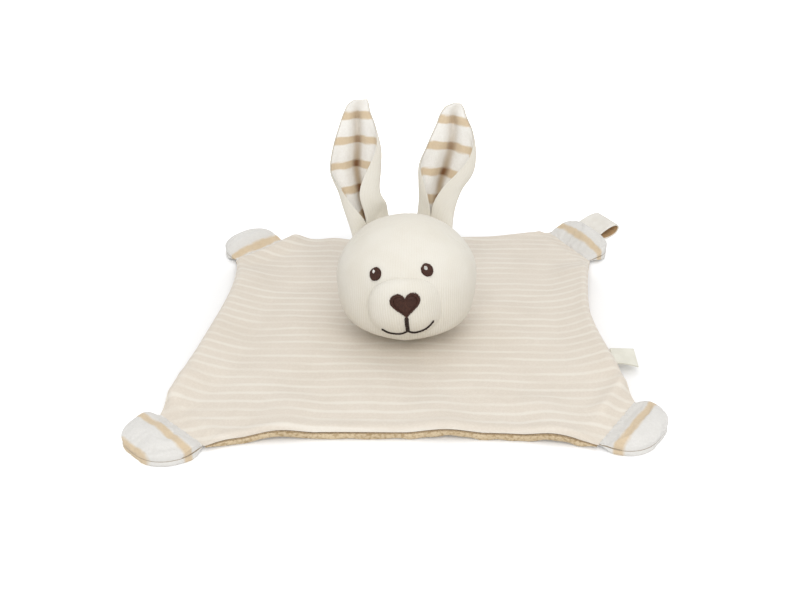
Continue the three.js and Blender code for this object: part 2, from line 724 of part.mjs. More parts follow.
const without = (vector, direction) =>
  vector.clone().addScaledVector(direction, -vector.dot(direction)).normalize();
const sideways = new THREE.Vector3(1, 0, 0);
const earAcross = steps(10, -1, 1);
const earUp = [0, 0.06, 0.14, 0.28, 0.45, 0.62, 0.8, 0.93, 1];
for (const [side, { azimuth, elevation, splay, length }] of Object.entries(ears)) {
  const away = faceDirection(azimuth, elevation);
  const foldLine = headPoint(away, -earBaseRadius);
  const foldAxis = without(sideways, away);
  const tips = new THREE.Vector3(Math.tan(degToRad(splay)), Math.tan(degToRad(earLeanBack)), 1);
  const up = tips.normalize();
  const facing = without(sideways, up);
  const baseUp = without(up, foldAxis);
  const face = (depth) => (s, share) => {
    const { halfWidth, halfDepth, sway, leftEdge, rightEdge } = earSection(side, length, share);
    const angle = s < 0 ? s * leftEdge : s * rightEdge;
    const folded = earCreaseShare * smoothstep(share, 0, earFacingShare);
    const crease = folded * halfDepth * Math.exp(-((angle / earCreaseSpread) ** 2));
    const x = (halfWidth - depth) * Math.sin(angle);
    const y = (halfDepth - depth) * Math.cos(angle) + crease;
    const across = foldAxis.clone().lerp(facing, smoothstep(share, 0, earFacingShare)).normalize();
    const knuckle = Math.sqrt(Math.max(0, earBaseRadius ** 2 - y ** 2));
    return foldLine
      .clone()
      .addScaledVector(across, x + sway)
      .addScaledVector(up.clone().cross(across).normalize(), y)
      .addScaledVector(up, share * length)
      .addScaledVector(baseUp, -knuckle * (1 - smoothstep(share, 0, earUp[2])));
  };
  const innerDepth = earOuterThickness + clearance;
  const innerUp = earUp.slice(earUp.indexOf(earInnerStartShare));
  const outer = slab(earAcross, earUp, face(0), face(earOuterThickness));
  const inner = slab(earAcross, innerUp, face(innerDepth), face(innerDepth + earInnerThickness));
  piece("ear_" + side + "_outer", outer, creamJersey);
  piece("ear_" + side + "_inner", inner, whiteVelour);
}

// The hanging loop at the back right paw: a folded strap whose bore runs along the paw's seam

const loopWidth = 24;
const loopOffset = 10; // its middle from the paw's middle, along the seam
const loopReach = 39.5; // its outer fold from the seam
const loopHeight = 9.6;
const loopRise = 5.5; // its outer fold over its base
const strapThickness = 1.2;
const strapPressShare = 0.4; // its sewn ends are pressed this thin
const strapPressReachShare = 0.5; // how far along it the pressing reaches
const loopShape = 1.15; // a higher power keeps the two layers together for longer
const loopAcross = [-1, 0, 1];

// How far a paw's free edge lies from its seam, at a distance along the seam from its middle.
function pawReach(seam, size, along) {
  const edge = pawOut.map((t) => {
    const point = pawPlan(seam, size, 0, 1, t).sub(seam.middle);
    return { along: point.dot(seam.along), out: point.dot(seam.outward) };
  });
  const after = edge.findLastIndex((corner) => corner.along >= Math.abs(along));
  const [a, b] = [edge[after], edge[after + 1] ?? edge[after]];
  const share = a.along > b.along ? (a.along - Math.abs(along)) / (a.along - b.along) : 0;
  return lerp(a.out, b.out, share);
}

function hangingLoop(seam, size) {
  const halfThickness = (turn) =>
    (strapThickness / 2) *
    lerp(strapPressShare, 1, smoothstep(Math.sin(turn / 2), 0, strapPressReachShare));
  const centre = (turn, across) => {
    const along = loopOffset + (across * loopWidth) / 2;
    const start = pawReach(seam, size, along) + 2 * clearance;
    const share = (1 - Math.cos(turn)) / 2;
    const opening = Math.sin(turn) * Math.sin(turn / 2) ** loopShape;
    const split = (halfThickness(turn) + layerHalfGap) * Math.cos(turn / 2);
    const height = size.rise + loopRise * share - (loopHeight / 2) * opening - split;
    return { along, out: lerp(start, loopReach, share), height: seamAxisHeight + height };
  };
  const face = (side) => (turn, across) => {
    const { along, out, height } = centre(turn, across);
    const offset = side * halfThickness(turn);
    const [before, after] = [-weldShare, weldShare].map((d) =>
      centre(clamp(turn + d, 0, TURN), across),
    );
    const run = new THREE.Vector2(after.out - before.out, after.height - before.height).normalize();
    const point = seam.middle
      .clone()
      .addScaledVector(seam.along, along)
      .addScaledVector(seam.outward, out - run.y * offset);
    return new THREE.Vector3(point.x, point.y, height + run.x * offset);
  };
  // The base follows the paw's free edge, so it has a row at each corner of that edge.
  const corners = pawOut
    .map((t) => pawPlan(seam, size, 0, 1, t).sub(seam.middle).dot(seam.along))
    .flatMap((along) => [along, -along])
    .map((along) => (2 * (along - loopOffset)) / loopWidth)
    .filter((across) => Math.abs(across) < 1);
  const rows = [...new Set([...loopAcross, ...corners])].sort((a, b) => a - b);
  return slab(steps(20, 0, TURN), rows, face(-1), face(1));
}
piece("hanging_loop", hangingLoop(seams.back_right, pawSizes.back_right), creamStrap);

// The side label: a bare folded tape, turning about a line just outside the cloth's right hem

const labelWidth = 16;
const labelLength = 13; // beyond the hem
const labelThickness = 1.1;
const labelEndShare = 0.2; // its two ends are rounded down to this share of its thickness
const labelPlaceShare = -0.445; // along the right side of the cloth's grid
const labelDroop = 1.2; // its free end hangs lower than the hem
const labelTwist = 1; // its front corner hangs lower still, and its back corner higher
const labelSink = 0.8; // it is pressed down at the hem
const labelHemShare = 0.08; // the hem on either side that the label lies against
const labelOutShares = [0, 0.04, 0.35, 0.68, 0.97, 1];

function sideLabel() {
  const thick = labelThickness / 2;
  const { point } = outlinePoint(1, labelPlaceShare);
  const hem = steps(8, -labelHemShare, labelHemShare).map(
    (share) => outlinePoint(1, labelPlaceShare + share).point.x,
  );
  const foldLine = Math.max(...hem) + clearance + thick;
  const middleHeight = lift(point.x, point.y) + backClothThickness + layerHalfGap - labelSink;
  const face = (side) => (across, share) => {
    const ends = share === 0 || share === 1 ? labelEndShare : 1;
    const hang = (labelDroop - labelTwist * across) * share ** 2;
    return new THREE.Vector3(
      foldLine + lerp(-thick, labelLength, share),
      point.y + (across * labelWidth) / 2,
      middleHeight - hang + side * ends * thick,
    );
  };
  return slab([-1, 0, 1], labelOutShares, face(1), face(-1));
}
piece("side_label", sideLabel(), labelTape);

export default lovey;
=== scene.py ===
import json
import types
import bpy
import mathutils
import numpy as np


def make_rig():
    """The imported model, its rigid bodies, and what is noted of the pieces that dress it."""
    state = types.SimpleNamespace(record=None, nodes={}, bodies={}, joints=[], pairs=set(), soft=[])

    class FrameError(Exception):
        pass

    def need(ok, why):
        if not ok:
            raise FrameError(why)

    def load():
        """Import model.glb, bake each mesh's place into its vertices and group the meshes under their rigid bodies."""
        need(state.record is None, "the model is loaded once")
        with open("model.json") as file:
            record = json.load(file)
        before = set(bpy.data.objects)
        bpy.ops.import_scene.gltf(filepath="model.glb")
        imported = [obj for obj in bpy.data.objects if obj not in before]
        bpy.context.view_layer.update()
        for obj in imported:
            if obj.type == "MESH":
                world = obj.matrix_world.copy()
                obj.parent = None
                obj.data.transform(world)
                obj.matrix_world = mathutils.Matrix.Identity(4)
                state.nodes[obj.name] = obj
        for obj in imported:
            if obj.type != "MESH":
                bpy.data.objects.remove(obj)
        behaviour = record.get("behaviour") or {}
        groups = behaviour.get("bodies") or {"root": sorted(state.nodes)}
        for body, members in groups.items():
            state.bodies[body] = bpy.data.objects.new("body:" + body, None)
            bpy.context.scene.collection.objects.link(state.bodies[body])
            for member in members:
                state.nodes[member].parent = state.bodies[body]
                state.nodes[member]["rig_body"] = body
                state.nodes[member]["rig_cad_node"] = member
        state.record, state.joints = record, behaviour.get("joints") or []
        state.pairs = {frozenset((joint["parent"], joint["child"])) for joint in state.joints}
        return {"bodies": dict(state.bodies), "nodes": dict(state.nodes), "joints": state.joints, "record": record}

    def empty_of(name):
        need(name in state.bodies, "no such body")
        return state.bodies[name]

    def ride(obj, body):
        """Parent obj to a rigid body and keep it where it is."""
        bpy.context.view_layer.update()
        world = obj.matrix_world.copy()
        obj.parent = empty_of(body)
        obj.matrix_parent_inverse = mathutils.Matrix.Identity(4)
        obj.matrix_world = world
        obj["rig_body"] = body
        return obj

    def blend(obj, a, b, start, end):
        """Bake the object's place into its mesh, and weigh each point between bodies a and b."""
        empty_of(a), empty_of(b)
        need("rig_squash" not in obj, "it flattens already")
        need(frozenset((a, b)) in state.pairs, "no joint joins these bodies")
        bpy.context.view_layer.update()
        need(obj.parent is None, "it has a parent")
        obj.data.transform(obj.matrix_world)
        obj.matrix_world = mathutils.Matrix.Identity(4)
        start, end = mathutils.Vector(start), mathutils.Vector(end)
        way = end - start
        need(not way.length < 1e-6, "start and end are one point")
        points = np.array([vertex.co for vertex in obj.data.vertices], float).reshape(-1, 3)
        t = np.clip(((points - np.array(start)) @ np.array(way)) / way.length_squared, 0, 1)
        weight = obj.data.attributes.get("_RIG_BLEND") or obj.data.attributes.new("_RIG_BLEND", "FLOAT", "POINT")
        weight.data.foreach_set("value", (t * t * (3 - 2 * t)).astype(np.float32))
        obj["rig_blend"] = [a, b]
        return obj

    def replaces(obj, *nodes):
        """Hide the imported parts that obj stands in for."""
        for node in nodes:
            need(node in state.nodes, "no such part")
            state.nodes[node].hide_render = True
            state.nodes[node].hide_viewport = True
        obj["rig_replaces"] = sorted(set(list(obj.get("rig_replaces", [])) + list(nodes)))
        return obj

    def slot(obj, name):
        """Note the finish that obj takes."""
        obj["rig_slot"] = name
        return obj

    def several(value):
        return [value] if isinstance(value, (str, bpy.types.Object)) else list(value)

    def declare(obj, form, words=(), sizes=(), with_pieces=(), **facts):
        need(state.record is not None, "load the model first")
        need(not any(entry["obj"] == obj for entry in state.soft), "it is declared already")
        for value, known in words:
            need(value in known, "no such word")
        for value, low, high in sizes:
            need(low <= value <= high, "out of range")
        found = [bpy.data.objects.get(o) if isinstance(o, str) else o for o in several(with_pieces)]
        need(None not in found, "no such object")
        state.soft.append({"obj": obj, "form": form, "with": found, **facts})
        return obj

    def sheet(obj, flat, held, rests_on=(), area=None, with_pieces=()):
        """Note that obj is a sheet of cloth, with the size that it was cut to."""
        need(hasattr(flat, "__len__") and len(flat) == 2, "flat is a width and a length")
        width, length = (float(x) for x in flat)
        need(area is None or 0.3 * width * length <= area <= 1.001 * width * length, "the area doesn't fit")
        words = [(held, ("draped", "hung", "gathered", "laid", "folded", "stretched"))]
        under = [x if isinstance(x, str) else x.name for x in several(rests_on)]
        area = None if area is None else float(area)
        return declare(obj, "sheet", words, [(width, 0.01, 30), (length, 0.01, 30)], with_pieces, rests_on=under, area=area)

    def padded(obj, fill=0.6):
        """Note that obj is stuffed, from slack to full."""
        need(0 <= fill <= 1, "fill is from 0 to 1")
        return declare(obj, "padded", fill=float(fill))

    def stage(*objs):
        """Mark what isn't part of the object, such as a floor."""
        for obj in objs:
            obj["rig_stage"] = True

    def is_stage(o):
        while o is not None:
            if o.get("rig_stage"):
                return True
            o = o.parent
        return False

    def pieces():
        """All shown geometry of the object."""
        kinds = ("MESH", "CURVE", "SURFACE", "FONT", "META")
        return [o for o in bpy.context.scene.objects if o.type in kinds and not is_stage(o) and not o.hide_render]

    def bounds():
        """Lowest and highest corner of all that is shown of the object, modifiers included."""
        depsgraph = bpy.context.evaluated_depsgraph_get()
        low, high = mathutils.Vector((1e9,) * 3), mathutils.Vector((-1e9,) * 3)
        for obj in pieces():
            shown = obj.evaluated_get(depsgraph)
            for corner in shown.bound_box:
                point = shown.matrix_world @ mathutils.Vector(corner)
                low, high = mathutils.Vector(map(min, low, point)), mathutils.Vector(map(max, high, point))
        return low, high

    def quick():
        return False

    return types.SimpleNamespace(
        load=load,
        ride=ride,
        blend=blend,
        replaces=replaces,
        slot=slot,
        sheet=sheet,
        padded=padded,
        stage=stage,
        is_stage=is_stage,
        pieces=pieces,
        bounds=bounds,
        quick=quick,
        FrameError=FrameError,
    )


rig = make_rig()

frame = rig.load()
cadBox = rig.bounds()

import json

import bpy
import numpy as np
from mathutils import Vector

print("frame loaded,", len(frame["nodes"]), "nodes")

# Shapes are worked out in millimetres, and makePiece turns them into metres.
mm = 0.001
fullTurn = 2 * np.pi
looks = {}  # the materials, by the record's slot names


def smoothStep(x, low, high):
    # 3t^2 - 2t^3, where t runs from 0 at low to 1 at high
    t = np.clip((x - low) / (high - low), 0, 1)
    return t * t * (3 - 2 * t)


def mix(a, b, share):
    return a + (b - a) * share


def dot(a, b):
    return (a * b).sum(-1)


def unit(vectors):
    return vectors / np.maximum(np.linalg.norm(vectors, axis=-1, keepdims=True), 1e-9)


def rounded(x):
    # a quarter circle: 0 at 0 with an upright start, 1 at 1 and beyond
    return np.sqrt(np.clip(1 - (1 - np.clip(x, 0, 1)) ** 2, 0, 1))


def ripple(x, y, length, seed):
    # seven plane waves in random directions, each about one length long, mostly between -1 and 1
    waves = np.random.default_rng(seed).uniform((0, 0, 0.7), (fullTurn, fullTurn, 1.5), (7, 3))
    height = 0
    for angle, phase, stretch in waves:
        run = (x * np.cos(angle) + y * np.sin(angle)) * fullTurn / (length * stretch)
        height = height + np.sin(run + phase)
    return height / np.sqrt(len(waves))


def through(x, places, values):
    # a smooth curve through the values at the places: a cubic between each two
    places = np.array(places, float)
    values = np.array(values, float)
    slopes = np.gradient(values, places)
    at = np.clip(np.searchsorted(places, x, side="right") - 1, 0, len(places) - 2)
    run = places[at + 1] - places[at]
    t = (x - places[at]) / run
    start = (1 + 2 * t) * (1 - t) ** 2 * values[at] + t * (1 - t) ** 2 * run * slopes[at]
    end = t * t * (3 - 2 * t) * values[at + 1] + t * t * (t - 1) * run * slopes[at + 1]
    return start + end


def powered(x, power):
    # |x|^power with the sign of x
    return np.sign(x) * np.abs(x) ** power


def around(turn, down):
    # directions turned about Z, and down from it
    return np.stack([np.sin(down) * np.cos(turn), np.sin(down) * np.sin(turn), np.cos(down)], -1)


def closeToEnds(count, share=0.5):
    # numbers from -1 to 1 that lie closer together towards both ends
    t = np.linspace(-1, 1, count)
    return (1 - share) * t + share * np.sin(t * np.pi / 2)


def cells(index):
    # the four corners of each cell of a grid
    corners = [index[..., :-1, :-1], index[..., :-1, 1:], index[..., 1:, 1:], index[..., 1:, :-1]]
    return np.stack(corners, -1).reshape(-1, 4)


def squareReach(u, v):
    # 0 in the middle of a square and 1 on its border
    return np.maximum(np.maximum(np.abs(u), np.abs(v)), 1e-9)


def edgeLoop(grid):
    # the border of a grid, once round
    return np.concatenate([grid[0, :-1], grid[:-1, -1], grid[-1, :0:-1], grid[:0:-1, 0]])


def titled(kind, name):
    return kind + name[0].upper() + name[1:]


def makePiece(name, shape, slot, body=None, replaced=(), look=None):
    # A shape is its points and patches, each a grid of point numbers and one of cloth coordinates, where
    # a pole is a row of one number. A piece without a body is blended between two bodies later.
    points, patches = shape
    loops, places, sizes = [], [], []
    for index, uv in patches:
        corner = cells(np.arange(index.size).reshape(index.shape))
        vertex = index.ravel()[corner]
        first = vertex[:, 0] == vertex[:, 1]
        last = vertex[:, 2] == vertex[:, 3]
        for chosen, kept in ((~first & ~last, [0, 1, 2, 3]), (first, [1, 2, 3]), (last, [0, 1, 2])):
            loops.append(vertex[chosen][:, kept].ravel())
            places.append(uv.reshape(-1, 2)[corner[chosen][:, kept]].reshape(-1, 2))
            sizes.append(np.full(chosen.sum(), len(kept)))
    loops, places, sizes = [np.concatenate(parts) for parts in (loops, places, sizes)]
    mesh = bpy.data.meshes.new(name)
    mesh.vertices.add(len(points))
    mesh.vertices.foreach_set("co", (points * mm).astype(np.float32).ravel())
    mesh.loops.add(len(loops))
    mesh.loops.foreach_set("vertex_index", loops.astype(np.int32))
    mesh.polygons.add(len(sizes))
    mesh.polygons.foreach_set("loop_start", (np.cumsum(sizes) - sizes).astype(np.int32))
    mesh.polygons.foreach_set("use_smooth", np.ones(len(sizes), bool))
    mesh.update(calc_edges=True)
    mesh.uv_layers.new(name="cloth").data.foreach_set("uv", (places * mm).astype(np.float32).ravel())
    mesh.calc_loop_triangles()
    triangles = np.zeros(len(mesh.loop_triangles) * 3, np.int32)
    mesh.loop_triangles.foreach_get("vertices", triangles)
    a, b, c = (points[triangles.reshape(-1, 3)[:, i]] for i in range(3))
    if dot(a, np.cross(b, c)).sum() < 0:
        mesh.flip_normals()
    piece = bpy.data.objects.new(name, mesh)
    bpy.context.scene.collection.objects.link(piece)
    mesh.materials.append(looks[look or slot])
    if body:
        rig.ride(piece, body)
    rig.slot(piece, slot)
    if replaced:
        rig.replaces(piece, *replaced)
    return piece


def shell(top, bottom, uv, rim):
    # Two faces over one grid, joined all round by rim rows from the top down: (out, height), in mm
    # outwards and in shares of the edge's half thickness.
    rows, columns = top.shape[:2]
    index = np.arange(rows * columns).reshape(rows, columns)
    row = np.clip(np.arange(rows), 1, rows - 2)
    column = np.clip(np.arange(columns), 1, columns - 2)
    inside = index[np.ix_(row, column)]
    edge = edgeLoop(index)
    middle = ((top + bottom) / 2).reshape(-1, 3)
    half = ((top - bottom) / 2).reshape(-1, 3)[edge]
    outward = middle[edge] - middle[edgeLoop(inside)]
    upward = unit(half)
    outward = unit(outward - upward * dot(outward, upward)[:, None])
    rings = [middle[edge] + height * half + out * outward for out, height in rim]
    start = 2 * rows * columns
    numbers = [edge]
    numbers += [start + i * len(edge) + np.arange(len(edge)) for i in range(len(rim))]
    numbers += [edge + rows * columns]
    wall = np.stack(numbers)
    wall = np.hstack([wall, wall[:, :1]])[::-1]
    wallUv = np.broadcast_to(edgeLoop(uv), (len(numbers), len(edge), 2))
    wallUv = np.concatenate([wallUv, wallUv[:, :1]], 1)
    points = np.concatenate([top.reshape(-1, 3), bottom.reshape(-1, 3), *rings])
    return points, [(index, uv), ((index + rows * columns)[::-1], uv[::-1]), (wall, wallUv)]


def capped(surface, uv, ends):
    # A grid whose rows run round and meet, with one point that closes its first row and one its last.
    rows, columns = surface.shape[:2]
    index = np.arange(rows * columns).reshape(rows, columns)
    index = np.hstack([index, index[:, :1]])
    pole = np.full((1, columns + 1), rows * columns)
    index = np.concatenate([pole, index, pole + 1])
    uv = np.concatenate([uv[:1], uv, uv[-1:]])
    return np.concatenate([surface.reshape(-1, 3), ends]), [(index, uv)]


def tubes(lines, radii, away, closed=False, sides=6):
    # A circle across each line at each of its steps, and a point that closes each end.
    count, steps = lines.shape[:2]
    along = np.roll(lines, -1, 1) - np.roll(lines, 1, 1) if closed else np.gradient(lines, axis=1)
    along = unit(along)
    across = unit(np.cross(along, away))
    over = np.cross(across, along)
    turn = np.linspace(0, fullTurn, sides, endpoint=False)[:, None]
    ring = across[:, :, None] * np.cos(turn) + over[:, :, None] * np.sin(turn)
    points = (lines[:, :, None] + ring * radii[:, :, None, None]).reshape(-1, 3)
    index = np.arange(count * steps * sides).reshape(count, steps, sides)
    index = np.concatenate([index, index[:, :, :1]], 2)
    length = np.cumsum(np.linalg.norm(np.diff(lines, axis=1, prepend=lines[:, :1]), axis=-1), axis=1)
    if closed:
        index = np.concatenate([index, index[:, :1]], 1)
        length = np.concatenate([length, length[:, -1:]], 1)
    else:
        poles = (count * steps * sides + np.arange(2 * count)).reshape(2, count, 1, 1)
        poles = np.broadcast_to(poles, (2, count, 1, sides + 1))
        index = np.concatenate([poles[0], index, poles[1]], 1)
        points = np.concatenate([points, lines[:, 0], lines[:, -1]])
        length = np.concatenate([length[:, :1], length, length[:, -1:]], 1)
    round_ = np.linspace(0, 3, sides + 1) + np.zeros((*length.shape, 1))
    uv = np.stack([round_, np.broadcast_to(length[..., None], round_.shape)], -1)
    return points, [(index, uv)]


def hue(red, green, blue):
    # a colour as it looks on a screen, 0 to 255, as the linear one that Blender works with
    c = np.array([red, green, blue]) / 255
    linear = np.where(c <= 0.04045, c / 12.92, ((c + 0.055) / 1.055) ** 2.4)
    return (*[float(x) for x in linear], 1.0)


class Wire:
    # a node's output that sums can be made with: wire * 0.5 + 0.2 adds the Math nodes for it
    def __init__(self, socket):
        self.socket = socket
        self.tree = socket.id_data

    def calc(self, operation, *others):
        return Wire(addNode(self.tree, "Math", dict(enumerate((self, *others))), operation=operation)[0])

    def __add__(self, other):
        return self.calc("ADD", other)

    def __sub__(self, other):
        return self.calc("SUBTRACT", other)

    def __rsub__(self, other):
        return self.calc("MULTIPLY", -1.0) + other

    def __mul__(self, other):
        return self.calc("MULTIPLY", other)

    def __truediv__(self, other):
        return self.calc("DIVIDE", other)


def addNode(tree, kind, values=None, **settings):
    # a node with its inputs linked to wires or set to values, and its outputs
    made = tree.nodes.new("ShaderNode" + kind)
    for key, value in settings.items():
        setattr(made, key, value)
    for key, value in (values or {}).items():
        if isinstance(value, Wire):
            tree.links.new(value.socket, made.inputs[key])
        else:
            made.inputs[key].default_value = value
    return made.outputs


def split(vector):
    return [Wire(socket) for socket in addNode(vector.tree, "SeparateXYZ", {0: vector})]


def vectorMath(operation, a, b):
    return Wire(addNode(a.tree, "VectorMath", {0: a, 1: b}, operation=operation)[0])


def noise(vector, size, detail=2.0, stretch=(1, 1, 1)):
    # blotches of the size in mm, which the stretch makes longer each way
    place = vectorMath("MULTIPLY", vector, [1 / (size * s * mm) for s in stretch])
    return Wire(addNode(vector.tree, "TexNoise", {"Vector": place, "Scale": 1.0, "Detail": detail})[0])


def mapped(value, low, high, toLow=0.0, toHigh=1.0, smooth=True):
    values = {"Value": value, "From Min": low, "From Max": high, "To Min": toLow, "To Max": toHigh}
    kind = "SMOOTHSTEP" if smooth else "LINEAR"
    return Wire(addNode(value.tree, "MapRange", values, interpolation_type=kind)[0])


def blendColour(share, a, b):
    return Wire(addNode(share.tree, "Mix", {0: share, 6: a, 7: b}, data_type="RGBA")[2])


socketKinds = dict(vector="Vector", colour="Color", shade="Color")  # the others hold a number


def makeGroup(name, inputs, work):
    # a node group with named inputs, whose outputs are what the work makes of them, by name
    tree = bpy.data.node_groups.new(name, "ShaderNodeTree")
    inputs = inputs.split()

    def addSockets(labels, way):
        for label in labels:
            kind = "NodeSocket" + socketKinds.get(label, "Float")
            tree.interface.new_socket(label, in_out=way, socket_type=kind)

    addSockets(inputs, "INPUT")
    given = tree.nodes.new("NodeGroupInput").outputs
    results = work(*[Wire(given[label]) for label in inputs])
    addSockets(results, "OUTPUT")
    wanted = tree.nodes.new("NodeGroupOutput").inputs
    for label, result in results.items():
        tree.links.new(result.socket, wanted[label])
    return tree


def useGroup(group, **values):
    outputs = addNode(values["vector"].tree, "Group", values, node_tree=group)
    return {socket.name: Wire(socket) for socket in outputs}


def stripeLines(vector, pitch, width, offset, wander, soft):
    # stripes across Y: the mask is 1 on a line, which wanders and changes its width a little
    moved = split(vector)[1] + (noise(vector, 16, 2.0, (1, 0.6, 1)) - 0.5) * wander * 2.0
    away = ((moved - offset) / pitch).calc("PINGPONG", 0.5) * pitch
    half = width * mapped(noise(vector, 5, 2.0, (1.6, 0.5, 1)), 0.3, 0.7, 0.4, 0.6, False)
    return dict(mask=mapped(away, half - soft, half + soft, 1.0, 0.0))


def velourPile(vector, colour, shade, depth):
    # tufts, a finer nap between them, and broad patches where it is stroked another way
    stroked = noise(vector, 22, 3.0)
    height = noise(vector, 1.3, 3.0) * 0.6 + noise(vector, 0.45) * 0.4
    dark = mapped(height, 0.42, 0.62, 1.0, 0.0)
    share = (dark * 0.8 + mapped(stroked, 0.35, 0.68, 0.0, 0.5)) * depth
    roughness = mapped(stroked, 0.3, 0.7, 0.86, 0.97)
    return dict(colour=blendColour(share, colour, shade), height=height, roughness=roughness)


def jerseyStitches(vector, pitch):
    # upright columns of stitches, each stitch a small V
    x, y = split(vector)[:2]
    away = (x / pitch + noise(vector, 9, 1.0) * 0.5).calc("PINGPONG", 0.5) * 2.0
    row = y / (pitch * 0.8) + away
    height = mapped(away, 0.0, 0.75) * 0.8 + (row * fullTurn).calc("SINE") * 0.1
    return dict(height=height, groove=mapped(away, 0.0, 0.35, 1.0, 0.0))


def terryLoops(vector):
    # round loops side by side, 1.25 mm apart, with shade between them
    place = vectorMath("MULTIPLY", vector, [1 / (1.25 * mm)] * 3)
    place = vectorMath("ADD", place, noise(vector, 3.0))
    values = {"Vector": place, "Scale": 1.0}
    loops = Wire(addNode(vector.tree, "TexVoronoi", values, feature="SMOOTH_F1")[0])
    return dict(height=1.0 - (loops + noise(vector, 0.4) * 0.25), gap=mapped(loops, 0.32, 0.75))


def twistedStrands(vector, pitch):
    # slanting strands along a tube's own coordinates, once round in 3 mm
    x, y = split(vector)[:2]
    return dict(height=((y / pitch + x / (3 * mm)) * np.pi).calc("SINE").calc("ABSOLUTE"))


def plainWeave(vector, pitch):
    # threads over and under each other
    across, along = [(side / pitch * np.pi).calc("SINE") for side in split(vector)[:2]]
    return dict(height=mapped(across * along, -1.0, 1.0, smooth=False))


stripes = makeGroup("stripes", "vector pitch width offset wander soft", stripeLines)
pile = makeGroup("pile", "vector colour shade depth", velourPile)
jersey = makeGroup("jersey", "vector pitch", jerseyStitches)
terry = makeGroup("terry", "vector", terryLoops)
twist = makeGroup("twist", "vector pitch", twistedStrands)
weave = makeGroup("weave", "vector pitch", plainWeave)


def newLook(slot, roughness, sheen, specular):
    # a material's Principled shader, the cloth's own coordinates and the object's
    look = bpy.data.materials.new(slot)
    look.use_nodes = True
    shader = look.node_tree.nodes["Principled BSDF"]
    shader.inputs["Roughness"].default_value = roughness
    shader.inputs["Specular IOR Level"].default_value = specular
    shader.inputs["Sheen Weight"].default_value = sheen
    shader.inputs["Sheen Roughness"].default_value = 0.5
    looks[slot] = look
    uv = addNode(look.node_tree, "UVMap", uv_map="cloth")[0]
    return shader, Wire(uv), Wire(addNode(look.node_tree, "TexCoord")["Object"])


def finishLook(shader, colour, height, depth, strength, roughness=None):
    # depth is the height of the relief in mm
    tree = colour.tree
    bump = addNode(tree, "Bump", {"Strength": strength, "Distance": depth * mm, "Height": height})
    tree.links.new(colour.socket, shader.inputs["Base Color"])
    tree.links.new(bump[0], shader.inputs["Normal"])
    if roughness:
        tree.links.new(roughness.socket, shader.inputs["Roughness"])


def stripesOn(uv, given, width):
    # the look's stripes along the cloth's x, from sizes in mm
    sizes = {key: given[key] * mm for key in ("pitch", "offset", "wander", "soft")}
    return useGroup(stripes, vector=uv, width=width * mm, **sizes)["mask"]


stripedVelour = dict(
    ground=hue(225, 216, 203), line=hue(231, 225, 214), shade=hue(209, 198, 183),
    pitch=8.0, width=2.5, offset=1.2, wander=0.6, soft=0.8, depth=0.35, worn=0.35,
)


def stripedVelourLook(given):
    # the lines fade and come back along their length
    shader, uv, place = newLook("striped_velour", 0.92, 0.2, 0.2)
    kept = mapped(noise(uv, 9, 1.0, (6, 1, 1)), 0.34, 0.58, given["worn"], 1.0)
    mask = stripesOn(uv, given, given["width"]) * kept
    ground = blendColour(mask, given["ground"], given["line"])
    shade = blendColour(mask, given["shade"], given["ground"])
    soft = useGroup(pile, vector=place, colour=ground, shade=shade, depth=0.35)
    finishLook(shader, soft["colour"], soft["height"], given["depth"], 0.6, soft["roughness"])


whiteVelour = dict(
    paw=dict(ground=hue(225, 223, 219), shade=hue(209, 206, 200), width=3.6),
    ear=dict(ground=hue(240, 238, 233), shade=hue(222, 217, 208), width=4.8),
    line=hue(216, 197, 168), lineShade=hue(198, 177, 147), fold=5.2,
    # the colours of the shade painted down the ears' fold, on the white and on the stripes; fold is its width in mm
    foldShade=hue(172, 154, 130), foldLine=hue(114, 78, 48),
    pitch=16.0, offset=0, wander=0.7, soft=0.85, depth=0.35,
)


def whiteVelourLook(given, name, own, folded):
    # white with tan stripes; in the ears, shade is painted down the fold, where the cloth's x is 0, and fades higher
    # up the ear
    shader, uv, place = newLook(name, 0.92, 0.2, 0.2)
    mask = stripesOn(uv, given, own["width"])
    ground = blendColour(mask, own["ground"], given["line"])
    shade = blendColour(mask, own["shade"], given["lineShade"])
    soft = useGroup(pile, vector=place, colour=ground, shade=shade, depth=0.3)
    colour = soft["colour"]
    if folded:
        x, y = split(uv)[:2]
        away = (x + (noise(uv, 9) - 0.5) * (2 * mm)).calc("ABSOLUTE")
        # painted shade down the ear's fold, fading higher up the ear
        paintedFoldShade = mapped(away, 0.0, given["fold"] * mm, 1.0, 0.0) * mapped(y, 12 * mm, 58 * mm, 1.0, 0.15)
        colour = blendColour(paintedFoldShade, colour, blendColour(mask, given["foldShade"], given["foldLine"]))
    finishLook(shader, colour, soft["height"], given["depth"], 0.6, soft["roughness"])


tanTerry = dict(ground=hue(214, 195, 163), gap=hue(164, 139, 102), depth=0.7)


def tanTerryLook(given):
    shader, uv, place = newLook("tan_terry", 0.95, 0.15, 0.2)
    loops = useGroup(terry, vector=place)
    share = mapped(noise(place, 14, 3.0), 0.3, 0.7, 0.0, 0.25) + loops["gap"] * 0.7
    colour = blendColour(share, given["ground"], given["gap"])
    finishLook(shader, colour, loops["height"], given["depth"], 0.9)


creamJersey = dict(
    ground=hue(227, 223, 213), groove=hue(203, 193, 172),
    pitch=1.45, depth=0.16, smoothAt=62, ribbedAt=42,
)


